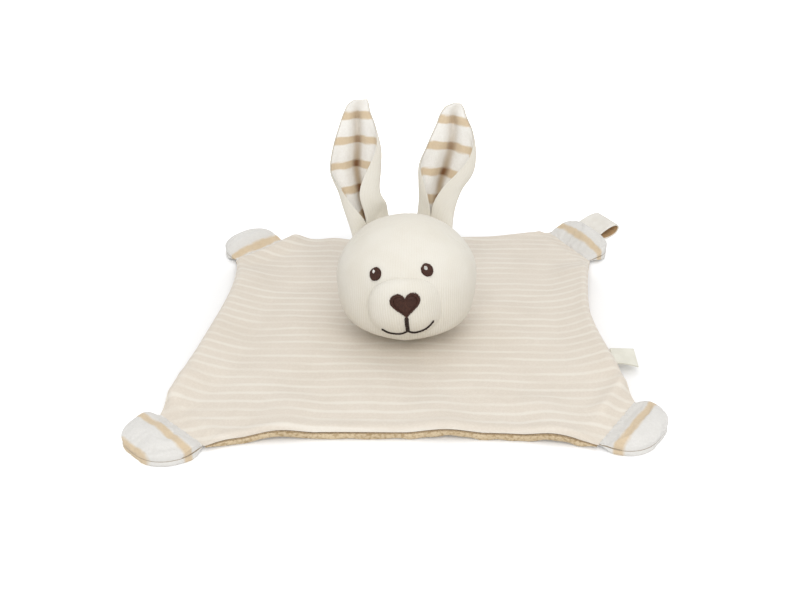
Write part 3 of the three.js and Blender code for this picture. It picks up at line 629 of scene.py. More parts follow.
def creamJerseyLook(given):
    # the ribs are plain to see low on the face, and stretched almost smooth above
    shader, uv, place = newLook("cream_jersey", 0.85, 0.12, 0.25)
    knit = useGroup(jersey, vector=uv, pitch=given["pitch"] * mm)
    ribbed = mapped(split(place)[2], given["ribbedAt"] * mm, given["smoothAt"] * mm, 1.0, 0.35)
    tone = mapped(noise(place, 18, 3.0), 0.3, 0.7, 0.0, 0.16)
    fine = mapped(noise(place, 0.5), 0.35, 0.7, 0.0, 0.1)
    # the groove colour is painted shade in the grooves between the ribs; the tone and fine noise vary at random
    share = tone + fine + knit["groove"] * 0.34 * ribbed
    colour = blendColour(share, given["ground"], given["groove"])
    finishLook(shader, colour, knit["height"] * ribbed, given["depth"], 0.8)


def threadLook(slot, ground, strand, roughness):
    shader, uv, place = newLook(slot, roughness, 0.0, 0.25)
    strands = useGroup(twist, vector=uv, pitch=0.9 * mm)["height"]
    # the darker colour is painted shade between the twisted strands, where their relief dips, and is mixed in at
    # random too
    share = (1.0 - strands) * 0.5 + mapped(noise(place, 0.8), 0.35, 0.65, 0.0, 0.5)
    finishLook(shader, blendColour(share, ground, strand), strands, 0.08, 0.8)


def wovenLook(slot, ground, gap, pitch, lining=None):
    # a lining lies where the cloth's x is past half a metre
    shader, uv, place = newLook(slot, 0.7, 0.05, 0.35)
    threads = useGroup(weave, vector=uv, pitch=pitch * mm)["height"]
    # the gap colour is painted shade between the threads where the weave dips, and is mixed in at random too
    share = (1.0 - threads) * 0.4 + mapped(noise(place, 6, 3.0), 0.3, 0.7, 0.0, 0.3)
    colour = blendColour(share, ground, gap)
    if lining:
        colour = blendColour(split(uv)[0].calc("GREATER_THAN", 0.5), colour, lining)
    finishLook(shader, colour, threads, 0.12, 0.8)


stripedVelourLook(stripedVelour)
whiteVelourLook(whiteVelour, "white_velour", whiteVelour["paw"], False)
whiteVelourLook(whiteVelour, "ear_velour", whiteVelour["ear"], True)
tanTerryLook(tanTerry)
creamJerseyLook(creamJersey)
threadLook("brown_thread", hue(76, 46, 35), hue(46, 26, 20), 0.6)
threadLook("dark_thread", hue(50, 35, 29), hue(29, 20, 16), 0.6)
threadLook("seam_thread", hue(172, 158, 138), hue(140, 124, 104), 0.7)
threadLook("hem_thread", hue(178, 156, 126), hue(146, 122, 92), 0.7)
threadLook("white_thread", hue(248, 247, 243), hue(222, 219, 211), 0.5)
wovenLook("label_tape", hue(236, 234, 222), hue(208, 205, 190), 0.5)
wovenLook("cream_strap", hue(238, 235, 228), hue(214, 208, 197), 0.6, hue(206, 176, 134))
print("materials made")


# The blanket: two cloths, whose outline runs along four paw seams and four edges that draw in.

blanket = dict(
    halfWidth=125, topThickness=2.4, backThickness=2.6, gap=0.3, lines=201,
    seamHeight=2.8, seamTip=0.12, pinch=11, seamGap=0.15, backInset=1.65,
    seamStart=0.82, foldHeight=6, foldFade=14, flatFloor=0.5,
    hemLift=0.9, hemLiftReach=11, shoulder=1.9, shoulderReach=4.5, frontHem=1.3,
)
# heights and lengths in mm of the cloth's slow and small waves, pleats round the neck and puckers
unevenness = dict(
    slow=0.32, slowLength=46, small=0.12, smallLength=19, pleats=11, pleatHeight=0.55, pleatReach=30,
    neckY=-6, pucker=0.35, puckerLength=9, puckerReach=12,
)
seamShares = dict(
    frontLeft=dict(side=(-1.0, -0.84), end=(-0.78, -1.05), out=(-1, -1)),
    frontRight=dict(side=(0.98, -0.69), end=(0.785, -1.0), out=(1, -1)),
    backLeft=dict(side=(-0.95, 0.69), end=(-0.735, 0.97), out=(-1, 1)),
    backRight=dict(side=(0.99, 0.74), end=(0.815, 1.125), out=(1, 1)),
)
# sag is how far an edge draws in, in mm, lean how much more of that lies at its end, and full how
# straight its middle is
edges = [
    dict(facing=(0, -1), start="frontLeft", stop="frontRight", ends="end", sag=10, lean=-1, full=4),
    dict(facing=(0, 1), start="backLeft", stop="backRight", ends="end", sag=8.4, lean=0, full=4),
    dict(facing=(-1, 0), start="frontLeft", stop="backLeft", ends="side", sag=7.8, lean=5, full=2.6),
    dict(facing=(1, 0), start="frontRight", stop="backRight", ends="side", sag=12.2, lean=0, full=1.5),
]
# ridges from x, y to x, y in shares of the half width, each with a width and a height share
foldLines = [
    (-0.935, -0.45, -0.87, 0.42, 0.13, 0.9),
    (0.93, -0.42, 0.92, 0.5, 0.13, 1.0),
    (-0.94, 0.58, -0.68, 0.9, 0.07, 0.9),
    (-0.63, 1.0, -0.6, 0.85, 0.08, 0.22),
    (-0.445, 1.0, -0.42, 0.84, 0.09, 0.32),
    (0.95, -0.62, 0.87, -0.78, 0.07, 0.8),
    (-1.0, -0.76, -0.95, -0.62, 0.09, 0.9),
    (-0.5, -0.96, -0.46, -0.78, 0.11, 0.45),
    (0.18, -0.95, 0.14, -0.78, 0.12, 0.4),
    (0.62, -0.92, 0.58, -0.76, 0.1, 0.45),
]


def seamOf(side, end, out):
    # a paw seam's ends, middle, direction and outward direction
    a, b = np.array(side) * blanket["halfWidth"], np.array(end) * blanket["halfWidth"]
    along = unit(b - a)
    outward = np.array([along[1], -along[0]])
    if dot(outward, np.array(out)) < 0:
        outward = -outward
    length = np.linalg.norm(b - a)
    return dict(side=a, end=b, middle=(a + b) / 2, along=along, outward=outward, length=length)


seams = {name: seamOf(**given) for name, given in seamShares.items()}


def onSeam(seam, across, out):
    # middle + across * the seam's direction + out * its outward direction
    return seam["middle"] + across[..., None] * seam["along"] + out[..., None] * seam["outward"]


def outline(u, v):
    # A point of the outline for each u, v on the square's border: along an edge, drawn in by
    # (sag + lean * share) * (1 - |share|^full), and near a side's ends along the paw seam to its middle.
    # The second result is how far the point is pulled back by a seam.
    place = np.zeros((*u.shape, 2))
    pulled = np.zeros((*u.shape, 2))
    sideways = np.abs(u) >= np.abs(v)
    run = np.where(sideways, v, u)
    for edge in edges:
        ownX, ownY = edge["facing"]
        mine = (sideways & (np.sign(u) == ownX)) if ownX else (~sideways & (np.sign(v) == ownY))
        start, stop = seams[edge["start"]], seams[edge["stop"]]
        share = (run / blanket["seamStart"])[..., None]
        inward = -np.array(edge["facing"])
        draw = (edge["sag"] + edge["lean"] * share) * (1 - np.abs(share) ** edge["full"])
        free = mix(start[edge["ends"]], stop[edge["ends"]], (share + 1) / 2) + inward * draw
        for seam, side in ((start, -1), (stop, 1)):
            beyond = (run * side >= blanket["seamStart"])[..., None]
            along = ((run * side - blanket["seamStart"]) / (1 - blanket["seamStart"]))[..., None]
            free = np.where(beyond, mix(seam[edge["ends"]], seam["middle"], along), free)
            pulled = np.where(mine[..., None] & beyond, -seam["outward"], pulled)
        place = np.where(mine[..., None], free, place)
    return place, pulled


def seamDistance(x, y):
    # from the nearest paw seam's line, inwards
    place = np.stack([x, y], -1)
    return np.min([dot(seam["middle"] - place, seam["outward"]) for seam in seams.values()], 0)


def lift(x, y):
    # bell-shaped ridges along the fold lines, less what lies flat on the floor
    height = 0
    for x0, y0, x1, y1, width, tall in foldLines:
        start = np.array([x0, y0]) * blanket["halfWidth"]
        line = np.array([x1, y1]) * blanket["halfWidth"] - start
        place = np.stack([x, y], -1) - start
        share = np.clip(dot(place, line) / dot(line, line), 0, 1)[..., None]
        away = np.linalg.norm(place - share * line, axis=-1) / (width * blanket["halfWidth"])
        height = height + tall * blanket["foldHeight"] * np.exp(-(away**2))
    height = np.maximum(0, height - blanket["flatFloor"])
    return height * smoothStep(seamDistance(x, y), 0, blanket["foldFade"])


def creases(x, y):
    # waves, pleats that fade away from the neck as exp(-distance^2), and puckers that fade so from a seam
    given = unevenness
    fromNeck = np.hypot(x, y - given["neckY"])
    turn = np.arctan2(y - given["neckY"], x)
    pleats = np.sin(given["pleats"] * turn + 1.5 * np.sin(3 * turn)) * smoothStep(fromNeck, 12, 20)
    pleats = pleats * np.exp(-((fromNeck / given["pleatReach"]) ** 2))
    puckers = ripple(x, y, given["puckerLength"], 5)
    puckers = puckers * np.exp(-((seamDistance(x, y) / given["puckerReach"]) ** 2))
    waves = given["slow"] * ripple(x, y, given["slowLength"], 3)
    waves = waves + given["small"] * ripple(x, y, given["smallLength"], 4)
    return waves + given["pleatHeight"] * pleats + given["pucker"] * puckers


seamThread = dict(radius=0.3, out=0.35)


def seamTube(line, outward, closed):
    # a sewn thread, moved out of the seam's line
    radii = np.full((1, len(line)), seamThread["radius"])
    return tubes((line + outward * seamThread["out"])[None], radii, np.array([0.0, 0, 1]), closed)


gridLine = closeToEnds(blanket["lines"])
clothU, clothV = np.meshgrid(gridLine, gridLine)
reach = squareReach(clothU, clothV)
border, pulledBack = outline(clothU / reach, clothV / reach)
onRim = (reach > 1 - 1e-9)[..., None]
hemDistance = (1 - reach) * blanket["halfWidth"]
hemRaise = blanket["hemLift"] * (1 - smoothStep(hemDistance, 1, blanket["hemLiftReach"]))
shoulder = blanket["shoulder"] * (1 - rounded(hemDistance / blanket["shoulderReach"]))


def clothFace(inset, seamHeight, height, forward=0):
    # the outline's points times their reach, pressed down to the seam's height near a paw seam
    plan = border * reach[..., None] + np.where(onRim, pulledBack * inset, 0)
    x, y = plan[..., 0], plan[..., 1]
    y = y - forward * smoothStep(-clothV, 0.93, 1) * (1 - np.abs(clothU) ** 6)  # out at the front hem
    pinched = smoothStep(seamDistance(x, y), 0, blanket["pinch"])
    return np.stack([x, y, mix(seamHeight, lift(x, y) + height, pinched)], -1)


def makeBlanket():
    flat = border * reach[..., None]
    uneven = creases(flat[..., 0], flat[..., 1])
    tip, axis = blanket["seamTip"], blanket["seamHeight"]
    backTop = blanket["backThickness"] + hemRaise
    middle = backTop + blanket["gap"]
    top = clothFace(blanket["seamGap"], axis + tip, middle + blanket["topThickness"] - shoulder + uneven)
    topUnder = clothFace(blanket["seamGap"], axis - tip, middle)
    under = axis - tip - blanket["gap"]
    inset, forward = blanket["backInset"], blanket["frontHem"]
    back = clothFace(inset, under, backTop - 0.15 * shoulder, forward)
    hemRise = (0.45 + 0.4 * ripple(flat[..., 0], flat[..., 1], 14, 8)) * (1 - rounded(hemDistance / 2.5))
    backUnder = clothFace(inset, under - 2 * tip, np.maximum(hemRise, 0), forward)
    shape = shell(top, topUnder, flat, [(0.45, 0.75), (0.75, 0.3), (0.75, -0.3), (0.45, -0.75)])
    makePiece("topCloth", shape, "striped_velour", "blanket", ["blanket_top"])
    rim = [(0.35, 0.92), (0.6, 0.7), (0.75, 0.4), (0.8, 0.05), (0.75, -0.35), (0.6, -0.7), (0.35, -0.93)]
    makePiece("backCloth", shell(back, backUnder, flat, rim), "tan_terry", "blanket", ["blanket_back"])
    # the thread between the two hems, whose brown also stands in for the painted shade in the groove between them
    line = edgeLoop((topUnder + back) / 2)
    outward = unit(np.gradient(line, axis=0)[:, [1, 0, 2]] * (1, -1, 0))
    makePiece("hemSeam", seamTube(line, outward, True), "brown_thread", "blanket", look="hem_thread")


makeBlanket()
print("blanket made")


# The paws: stuffed pads with a seam round the edge.

paws = dict(
    frontLeft=dict(length=29, square=2.6, bulge=4, height=10, rise=0.3, stripe=11.3, stripeApart=17.5),
    frontRight=dict(length=24, square=2.6, bulge=1, height=10, rise=0.3, stripe=10.8, stripeApart=20),
    backLeft=dict(length=21.5, square=2.6, bulge=0, height=13, rise=2, stripe=3.6, stripeApart=18),
    backRight=dict(length=20.5, square=3.2, bulge=1, height=15.5, rise=3.2, stripe=7.8, stripeApart=15.5),
)
pawShape = dict(rimSeam=3.1, groove=0.55, pinch=0.95, steep=0.25, lines=61, bend=3, middle=0.46)
padding = dict(frames=20, pressure=4, grow=0.03, reach=1.2)


def pawBorder(seam, size, u, v):
    # the square's border on the paw: its near side on the seam, and the other three round a superellipse
    # across = cos^(2/n), out = sin^(2/n)
    near = (np.abs(u) < -v + 1e-9) | (v <= -1 + 1e-9)
    angle = np.where(v >= np.abs(u) - 1e-9, 3 - u, 5 - v)
    angle = np.clip(np.where(u >= np.abs(v) - 1e-9, v + 1, angle) / 6, 0, 1) * np.pi
    power = 2 / size["square"]
    t = np.abs(np.sin(angle)) ** power
    half = seam["length"] / 2 + size["bulge"] * np.sin(np.minimum(1, 2 * t) * np.pi / 2)
    across = np.where(near, u * seam["length"] / 2, powered(np.cos(angle), power) * half)
    out = np.where(near, 0, t * size["length"])
    return np.stack([across, out], -1)


def padOut(piece, held):
    # Cloth simulation: the cover, cut a little larger than its pad, is pressed out from inside while the
    # seams hold still. No point moves further than the reach, or below the floor.
    scene = bpy.context.scene
    before = np.zeros(len(piece.data.vertices) * 3, np.float32)
    piece.data.vertices.foreach_get("co", before)
    group = piece.vertex_groups.new(name="held")
    group.add(held.tolist(), 1, "REPLACE")
    cloth = piece.modifiers.new("padding", "CLOTH")
    cloth.point_cache.frame_end = padding["frames"]
    cloth.settings.vertex_group_mass = "held"
    cloth.settings.use_pressure = True
    cloth.settings.uniform_pressure_force = padding["pressure"]
    cloth.settings.shrink_min = -padding["grow"]
    cloth.settings.effector_weights.gravity = 0
    for step in range(1, padding["frames"] + 1):
        scene.frame_set(step)
    after = np.zeros_like(before)
    piece.evaluated_get(bpy.context.evaluated_depsgraph_get()).data.vertices.foreach_get("co", after)
    piece.modifiers.remove(cloth)
    piece.vertex_groups.remove(group)
    scene.frame_set(1)
    moved = (after - before).reshape(-1, 3)
    far = np.maximum(np.linalg.norm(moved, axis=1), 1e-9)
    points = before.reshape(-1, 3) + moved * np.minimum(1, padding["reach"] * mm / far)[:, None]
    points[:, 2] = np.maximum(points[:, 2], 0)
    piece.data.vertices.foreach_set("co", points.astype(np.float32).ravel())
    piece.data.update()
    print(piece.name, "padded, its cloth moved by up to %.2f mm" % min(far.max() / mm, padding["reach"]))


def blendAcross(pieces, body, other, hinge, seam, bend):
    # the pieces go with one body at the hinge and with the other a bend's length out from it
    stop = hinge + np.append(seam["outward"], 0) * bend
    for piece in pieces:
        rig.blend(piece, body, other, start=tuple(hinge * mm), end=tuple(stop * mm))


def makePaw(name):
    seam, size = seams[name], paws[name]
    line = closeToEnds(pawShape["lines"], 0.75)
    u, v = np.meshgrid(line, line)
    far = squareReach(u, v)
    rim = pawBorder(seam, size, u / far, v / far)
    middle = np.array([0, size["length"] * pawShape["middle"]])
    plan = mix(middle, rim, far[..., None])
    across, out = plan[..., 0], plan[..., 1]
    # puff: 0 at the rim and 1 in the middle, (1 - edge^2)^steep, pressed flat towards the seam
    power = size["square"]
    edge = (np.abs(across) / (seam["length"] / 2 + size["bulge"])) ** power
    edge = (edge + np.clip(out / size["length"], 0, 1) ** power) ** (1 / power)
    crown = np.clip(1 - edge**2, 0, 1) ** pawShape["steep"]
    crown = crown * smoothStep(out, 0, pawShape["pinch"] * size["height"])
    opened = smoothStep(out, 0.15, 5)
    axis = blanket["seamHeight"]
    side = mix(axis, pawShape["rimSeam"], opened) + size["rise"] * smoothStep(out, 0, size["length"])
    half = mix(blanket["seamTip"], 0.3, opened)
    wrinkle = 0.3 * ripple(across, out, 8, len(name)) * np.exp(-((out / 7) ** 2)) * crown**0.5
    apart = np.where(v <= -1 + 1e-9, blanket["seamGap"], 0)
    place = onSeam(seam, across, out + apart)
    top = np.dstack([place, mix(side + half, size["height"], crown) + wrinkle])
    low = np.clip(1.7 * crown, 0, 1)
    bottom = np.dstack([place, mix(side - half, 0.0, smoothStep(low, 0, 1) * 0.5 + low * 0.5)])
    groove = pawShape["groove"]
    uv = (plan - [0, size["stripe"]]) * (1, whiteVelour["pitch"] / size["stripeApart"])
    rim = [(-groove * 0.2, 0.55), (-groove, 0), (-groove * 0.2, -0.55)]
    points, patches = shape = shell(top, bottom, uv, rim)
    node = "paw_" + name.replace("Left", "_left").replace("Right", "_right")
    title = titled("paw", name)
    layers = [node + part for part in ("_top", "_back", "_wadding")]
    paw = makePiece(title, shape, "white_velour", replaced=layers)
    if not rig.quick():
        seamPoints = [edgeLoop(index) for index, place in patches[:2]]
        padOut(paw, np.concatenate([*seamPoints, np.arange(2 * top[..., 0].size, len(points))]))
    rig.padded(paw, 0.6)
    # the seam's thread in the groove, round the free edge
    line = edgeLoop((top + bottom) / 2)[len(line) - 1 : 4 * (len(line) - 1)]
    inward = unit(np.append(seam["middle"] + middle[1] * seam["outward"], axis) - line)
    thread = makePiece(title + "Seam", seamTube(line, inward, False), "dark_thread", look="seam_thread")
    # the cloth bends in a few millimetres beside the seam as the paw folds
    blendAcross([paw, thread], "blanket", node, np.append(seam["middle"], axis), seam, pawShape["bend"])


for name in paws:
    makePaw(name)
print("paws made")


# The head: a ball with full cheeks, over the neck it turns on.

head = dict(
    half=(40.5, 39.5, 37.1), forward=12.3, side=0.5, height=39, roll=5.5, fullness=2.15, cheeks=0.2,
    underEdge=14, clear=0.7, nodForward=8, nodBack=20, tilt=10, neckBehind=6.3, opening=-66,
    pocket=68, grooveDepth=0.4, grooveWidth=0.9, knit=39,
)
neck = dict(radius=12, gap=0.3, stitch=1.0, pleats=22, pleatDepth=0.45)
neckStitches = dict(count=40, slant=0.16, low=63, high=33, radius=0.42, bow=0.3)
headCentre = np.array([head["side"], -head["forward"], head["height"]])
neckCentre = np.array([0, head["neckBehind"] - head["forward"], 5.6])
fromNeck = headCentre - neckCentre
underPlanes = unit(np.array([
    [np.tan(np.radians(tilt)), -np.tan(np.radians(nod)), 1]
    for tilt in (-head["tilt"], head["tilt"])
    for nod in (-head["nodForward"], head["nodBack"])
]))
headAxis = unit(fromNeck)
headAcross = unit(np.array([1, 0, 0]) - headAxis[0] * headAxis)
headFrame = np.stack([headAcross, unit(np.cross(headAxis, headAcross)), headAxis])


def headRadius(direction):
    # a superellipsoid, fuller below, kept above the planes that the cloth takes as the head leans:
    # (planes^14 + ball^-14)^(-1/14)
    power = head["fullness"] - head["cheeks"] * direction[..., 2]
    parts = (np.abs(direction) / np.array(head["half"])) ** power[..., None]
    ball = parts.sum(-1) ** (-1 / power)
    closing = -(direction @ underPlanes.T) / (underPlanes @ fromNeck - head["clear"])
    limit = np.maximum(closing, 0).max(-1)
    return (limit ** head["underEdge"] + ball ** -head["underEdge"]) ** (-1 / head["underEdge"])


def sphere(azimuth, elevation):
    # directions in radians, from the face's middle
    flat = np.cos(elevation)
    return np.stack([flat * np.sin(azimuth), -flat * np.cos(azimuth), np.sin(elevation)], -1)


def headPoint(direction, out):
    return headCentre + direction * (headRadius(direction) + out)[..., None]


def faceDirection(azimuth, elevation):
    # degrees on the face, seen straight on, rolled about the head's front
    x, y, z = np.moveaxis(sphere(np.radians(azimuth), np.radians(elevation)), -1, 0)
    c, s = np.cos(np.radians(head["roll"])), np.sin(np.radians(head["roll"]))
    return np.stack([x * c - z * s, y, x * s + z * c], -1)


def onFace(azimuth, elevation, out):
    return headPoint(faceDirection(azimuth, elevation), 0.15 + out)


def knitPlace(azimuth, latitude):
    # the jersey's ribs run up each panel, side by side: arc lengths on a ball
    panel = np.where(np.abs(azimuth) <= np.pi / 2, 0, np.sign(azimuth) * np.pi * 0.75)
    return np.stack([(azimuth - panel) * np.cos(latitude), latitude], -1) * head["knit"]


def makeHead():
    near = np.linspace(-4, 4, 15)  # closer points beside the three seams
    azimuth = np.concatenate([np.arange(-180, 180, 1.9), 90 + near, -90 + near, (180 + near) % 360 - 180])
    azimuth = np.append(np.radians(np.unique(np.round(azimuth, 2))), np.pi)
    a, e = np.meshgrid(azimuth, np.radians(np.linspace(head["opening"], 89, 120)))
    direction = sphere(a, e) @ headFrame
    ring = headRadius(direction) * np.cos(e)
    groove = 0
    for seam in (-np.pi, -np.pi / 2, np.pi / 2, np.pi):
        groove = groove + head["grooveDepth"] * np.exp(-(((a - seam) * ring / head["grooveWidth"]) ** 2))
    groove = np.minimum(groove, head["grooveDepth"]) * smoothStep(np.cos(e), 0.45, 0.75)
    soft = 0.25 * ripple(direction[..., 0] * 40, direction[..., 2] * 40 + direction[..., 1] * 20, 34, 12)
    # the cloth turns in at the neck, and lines the pocket that the neck sits in
    pocketA, pocketE = np.meshgrid(azimuth, np.pi / 2 - np.radians(np.linspace(2, head["pocket"], 10)))
    lining = neck["radius"] + neck["stitch"] + 1.0
    inner = neckCentre + (sphere(pocketA, pocketE) @ headFrame) * lining
    surface = np.concatenate([inner, headPoint(direction, soft - groove)])
    uv = np.concatenate([knitPlace(pocketA, pocketE), knitPlace(a, e)])
    ends = [neckCentre + headAxis * lining, headPoint(headAxis[None], np.zeros(1))[0]]
    parts = ["head_face", "head_back_left", "head_back_right", "head_stuffing"]
    return makePiece("head", capped(surface[:, :-1], uv, ends), "cream_jersey", "head", parts)


headPiece = makeHead()
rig.padded(headPiece, 0.9)


def makeNeck():
    # the gathered stub: half a ball with pleats that deepen towards its foot
    a, d = np.meshgrid(np.linspace(0, fullTurn, 177), np.radians(np.linspace(4, 90, 22)))
    size = neck["radius"] - neck["pleatDepth"] * (1 - np.cos(neck["pleats"] * a)) * np.sin(d) ** 3
    dome = around(a, d) * size[..., None]
    ends = neckCentre + [[0, 0, neck["radius"]], [0, 0, 0]]
    shape = capped(neckCentre + dome[:, :-1], np.stack([a, d], -1) * neck["radius"], ends)
    makePiece("neckGather", shape, "cream_jersey", "neck", ["neck_gather"])
    # a ring of slanting stitches over it
    given = neckStitches
    t = np.linspace(0, 1, 9)
    swing = np.linspace(0, fullTurn, given["count"], endpoint=False)[:, None] + given["slant"] * t
    out = around(swing, np.radians(mix(given["low"], given["high"], t)) + 0 * swing)
    bow = neck["radius"] + neck["gap"] + 0.35 + given["bow"] * np.sin(np.pi * t)
    lines = neckCentre + out * bow[:, None]
    radii = given["radius"] * np.sin(np.pi * mix(0.12, 0.88, t)) ** 0.5
    radii = np.broadcast_to(radii, lines.shape[:2])
    makePiece("neckStitches", tubes(lines, radii, out), "white_thread", "neck_ring", ["neck_stitching"])


makeNeck()
print("head and neck made")


# The muzzle: a soft bulge, with a crease at its upper left that fades to the lower right.

muzzle = dict(
    azimuth=0.3, elevation=-1.3, spanAzimuth=30, spanElevation=26.6, square=2.6, height=7.95, sunk=0.35,
    deep=1.2, sharp=0.42, smooth=1.35, creaseAt=140, creaseReach=140, knit=46,
)


def muzzleHeight(azimuth, elevation):
    # height * (1 - reach^2)^power, where the power is low at the crease and high where the foot is
    # smooth, and reach is 1 on a squarish oval: (|x|^n + |y|^n)^(1/n)
    x = (azimuth - muzzle["azimuth"]) / muzzle["spanAzimuth"]
    y = (elevation - muzzle["elevation"]) / muzzle["spanElevation"]
    reach = (np.abs(x) ** muzzle["square"] + np.abs(y) ** muzzle["square"]) ** (1 / muzzle["square"])
    turned = np.degrees(np.arctan2(y, x)) - muzzle["creaseAt"]
    turned = np.abs((turned + 180) % 360 - 180)
    power = mix(muzzle["sharp"], muzzle["smooth"], smoothStep(turned, 30, muzzle["creaseReach"]))
    return muzzle["height"] * np.clip(1 - reach**2, 0, 1) ** power - muzzle["sunk"]


def makeMuzzle():
    a, r = np.meshgrid(np.linspace(0, fullTurn, 145), np.sin(np.linspace(0.02, 1, 40) * np.pi / 2))
    across, upward = [powered(side, 2 / muzzle["square"]) for side in (np.cos(a), np.sin(a))]
    azimuth = muzzle["azimuth"] + muzzle["spanAzimuth"] * r * across
    elevation = muzzle["elevation"] + muzzle["spanElevation"] * r * upward
    top = onFace(azimuth, elevation, muzzleHeight(azimuth, elevation))
    under = onFace(azimuth, elevation, np.full(a.shape, -muzzle["deep"]))
    knit = np.stack([azimuth * np.cos(np.radians(elevation)), elevation], -1)
    knit = np.radians(np.concatenate([knit, knit[::-1]])) * muzzle["knit"]
    middle = np.array([[muzzle["azimuth"]], [muzzle["elevation"]]])
    ends = [onFace(*middle, out)[0] for out in (muzzleHeight(*middle), np.array([-muzzle["deep"]]))]
    shape = capped(np.concatenate([top, under[::-1]])[:, :-1], knit, ends)
    return makePiece("muzzle", shape, "cream_jersey", "head", ["muzzle_cover", "muzzle_stuffing"])


muzzlePiece = makeMuzzle()
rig.padded(muzzlePiece, 0.7)
print("muzzle made")


# The embroidery: satin threads laid side by side.

# places and sizes on the face are in degrees, and the threads' radii in mm
eyes = dict(Left=(-25, 28.3), Right=(23, 28.8), size=(5.7, 5.3), slant=0.25, thread=0.22, overThread=0.2)
glints = dict(Left=0.24, Right=0.3, place=(-0.22, 0.3), thread=0.18)
noseShape = dict(place=(1, 6.2), size=(10.6, 8.7), fillRows=34, rimThreads=150, fill=0.24, rim=0.22)
stem = dict(count=7, offsets=(-0.5, 0.5), overlap=1.35, thick=0.75)
smile = dict(count=13, offsets=(0.0,), overlap=1.12, thick=0.6)
mouthLines = [
    dict(places=[(0.8, -1.8), (0.6, -8.5), (0.5, -14.7)], **stem),
    dict(places=[(0.5, -14.7), (-4.0, -18.4), (-8.7, -18.8), (-14.5, -17.0), (-18.5, -13.4)], **smile),
    dict(places=[(0.5, -14.7), (3.5, -18.0), (7.4, -18.9), (14.5, -16.6), (20.5, -11.1)], **smile),
]


def faceThreads(ends, base, arch, radius, steps=9, foot=0):
    # threads over the face, each from one azimuth and elevation to another, bowed like a half sine
    t = np.linspace(0, 1, steps)[:, None]
    azimuth, elevation = np.moveaxis(ends[:, :1] + t * (ends[:, 1:] - ends[:, :1]), -1, 0)
    bow = arch * np.sin(np.pi * t[:, 0]) ** 0.5
    lines = onFace(azimuth, elevation, base(azimuth, elevation) + foot + bow)
    radii = np.broadcast_to(radius * np.sin(np.pi * mix(0.1, 0.9, t[:, 0])) ** 0.35, lines.shape[:2])
    return tubes(lines, radii, unit(lines - headCentre))


def joinShapes(shapes):
    # several shapes' points and patches as one
    points, patches, start = [], [], 0
    for own, ownPatches in shapes:
        points.append(own)
        patches += [(index + start, uv) for index, uv in ownPatches]
        start += len(own)
    return np.concatenate(points), patches


def ovalThreads(middle, size, count, slant, ragged, draw):
    # chords of an oval, side by side across it, with uneven ends
    place = np.linspace(-0.96, 0.96, count)
    reach = np.sqrt(1 - place**2)
    ends = np.stack([-reach, reach], -1) + draw.uniform(-ragged, ragged, (count, 2))
    c, s = np.cos(slant), np.sin(slant)
    x = ends * c - place[:, None] * s
    y = ends * s + place[:, None] * c
    return middle + np.stack([x, y], -1) * size


def flatPad(border, middle, base, height):
    # a low cushion inside an outline, under the threads: height * (1 - reach^4)
    reach = np.linspace(0.15, 1, 7)[:, None]
    azimuth, elevation = np.moveaxis(middle + reach[..., None] * (border - middle), -1, 0)
    foot = base(azimuth, elevation)
    top = onFace(azimuth, elevation, foot + height * (1 - reach**4))
    surface = np.concatenate([top, onFace(azimuth, elevation, foot - 0.4)[::-1]])
    a, e = middle[:, None]
    ends = [onFace(a, e, base(a, e) + out)[0] for out in (height, -0.4)]
    uv = np.zeros((len(surface), len(border) + 1, 2)) + np.arange(len(surface))[:, None, None]
    return capped(surface, uv, ends)


def bareFace(azimuth, elevation):
    # the eyes lie on the face itself, where the muzzle's height is left out
    return 0 * azimuth


def makeEyes():
    # level threads over upright ones, on a pad
    draw = np.random.default_rng(21)
    size = np.array(eyes["size"])
    turn = np.linspace(0, fullTurn, 48, endpoint=False)
    oval = np.stack([np.cos(turn), np.sin(turn)], -1) * size * 0.94
    for side, sign in (("Left", -1), ("Right", 1)):
        middle, slant = np.array(eyes[side]), eyes["slant"] * sign
        fill = ovalThreads(middle, size, 30, slant, 0.05, draw)
        over = ovalThreads(middle, size * 0.93, 22, np.pi / 2 + slant, 0.06, draw)
        shapes = [
            flatPad(middle + oval, middle, bareFace, 0.45),
            faceThreads(over, bareFace, 0.55, eyes["overThread"], foot=0.1),
            faceThreads(fill, bareFace, 1.0, eyes["thread"]),
        ]
        node = side.lower()
        makePiece("eye" + side, joinShapes(shapes), "brown_thread", "head", ["eye_" + node])
        glint = ovalThreads(middle + size * glints["place"], size * glints[side], 6, 0.3, 0.08, draw)
        shape = faceThreads(glint, bareFace, 0.35, glints["thread"], foot=0.95)
        makePiece("glint" + side, shape, "white_thread", "head", ["glint_" + node])


def heart(turn):
    # two round lobes over a point: across is sin^3, up is a sum of four cosines
    across = np.sin(turn) ** 3
    up = 13 * np.cos(turn) - 5 * np.cos(2 * turn) - 2 * np.cos(3 * turn) - np.cos(4 * turn)
    return np.stack([across, up / 14.5 + 0.17], -1)


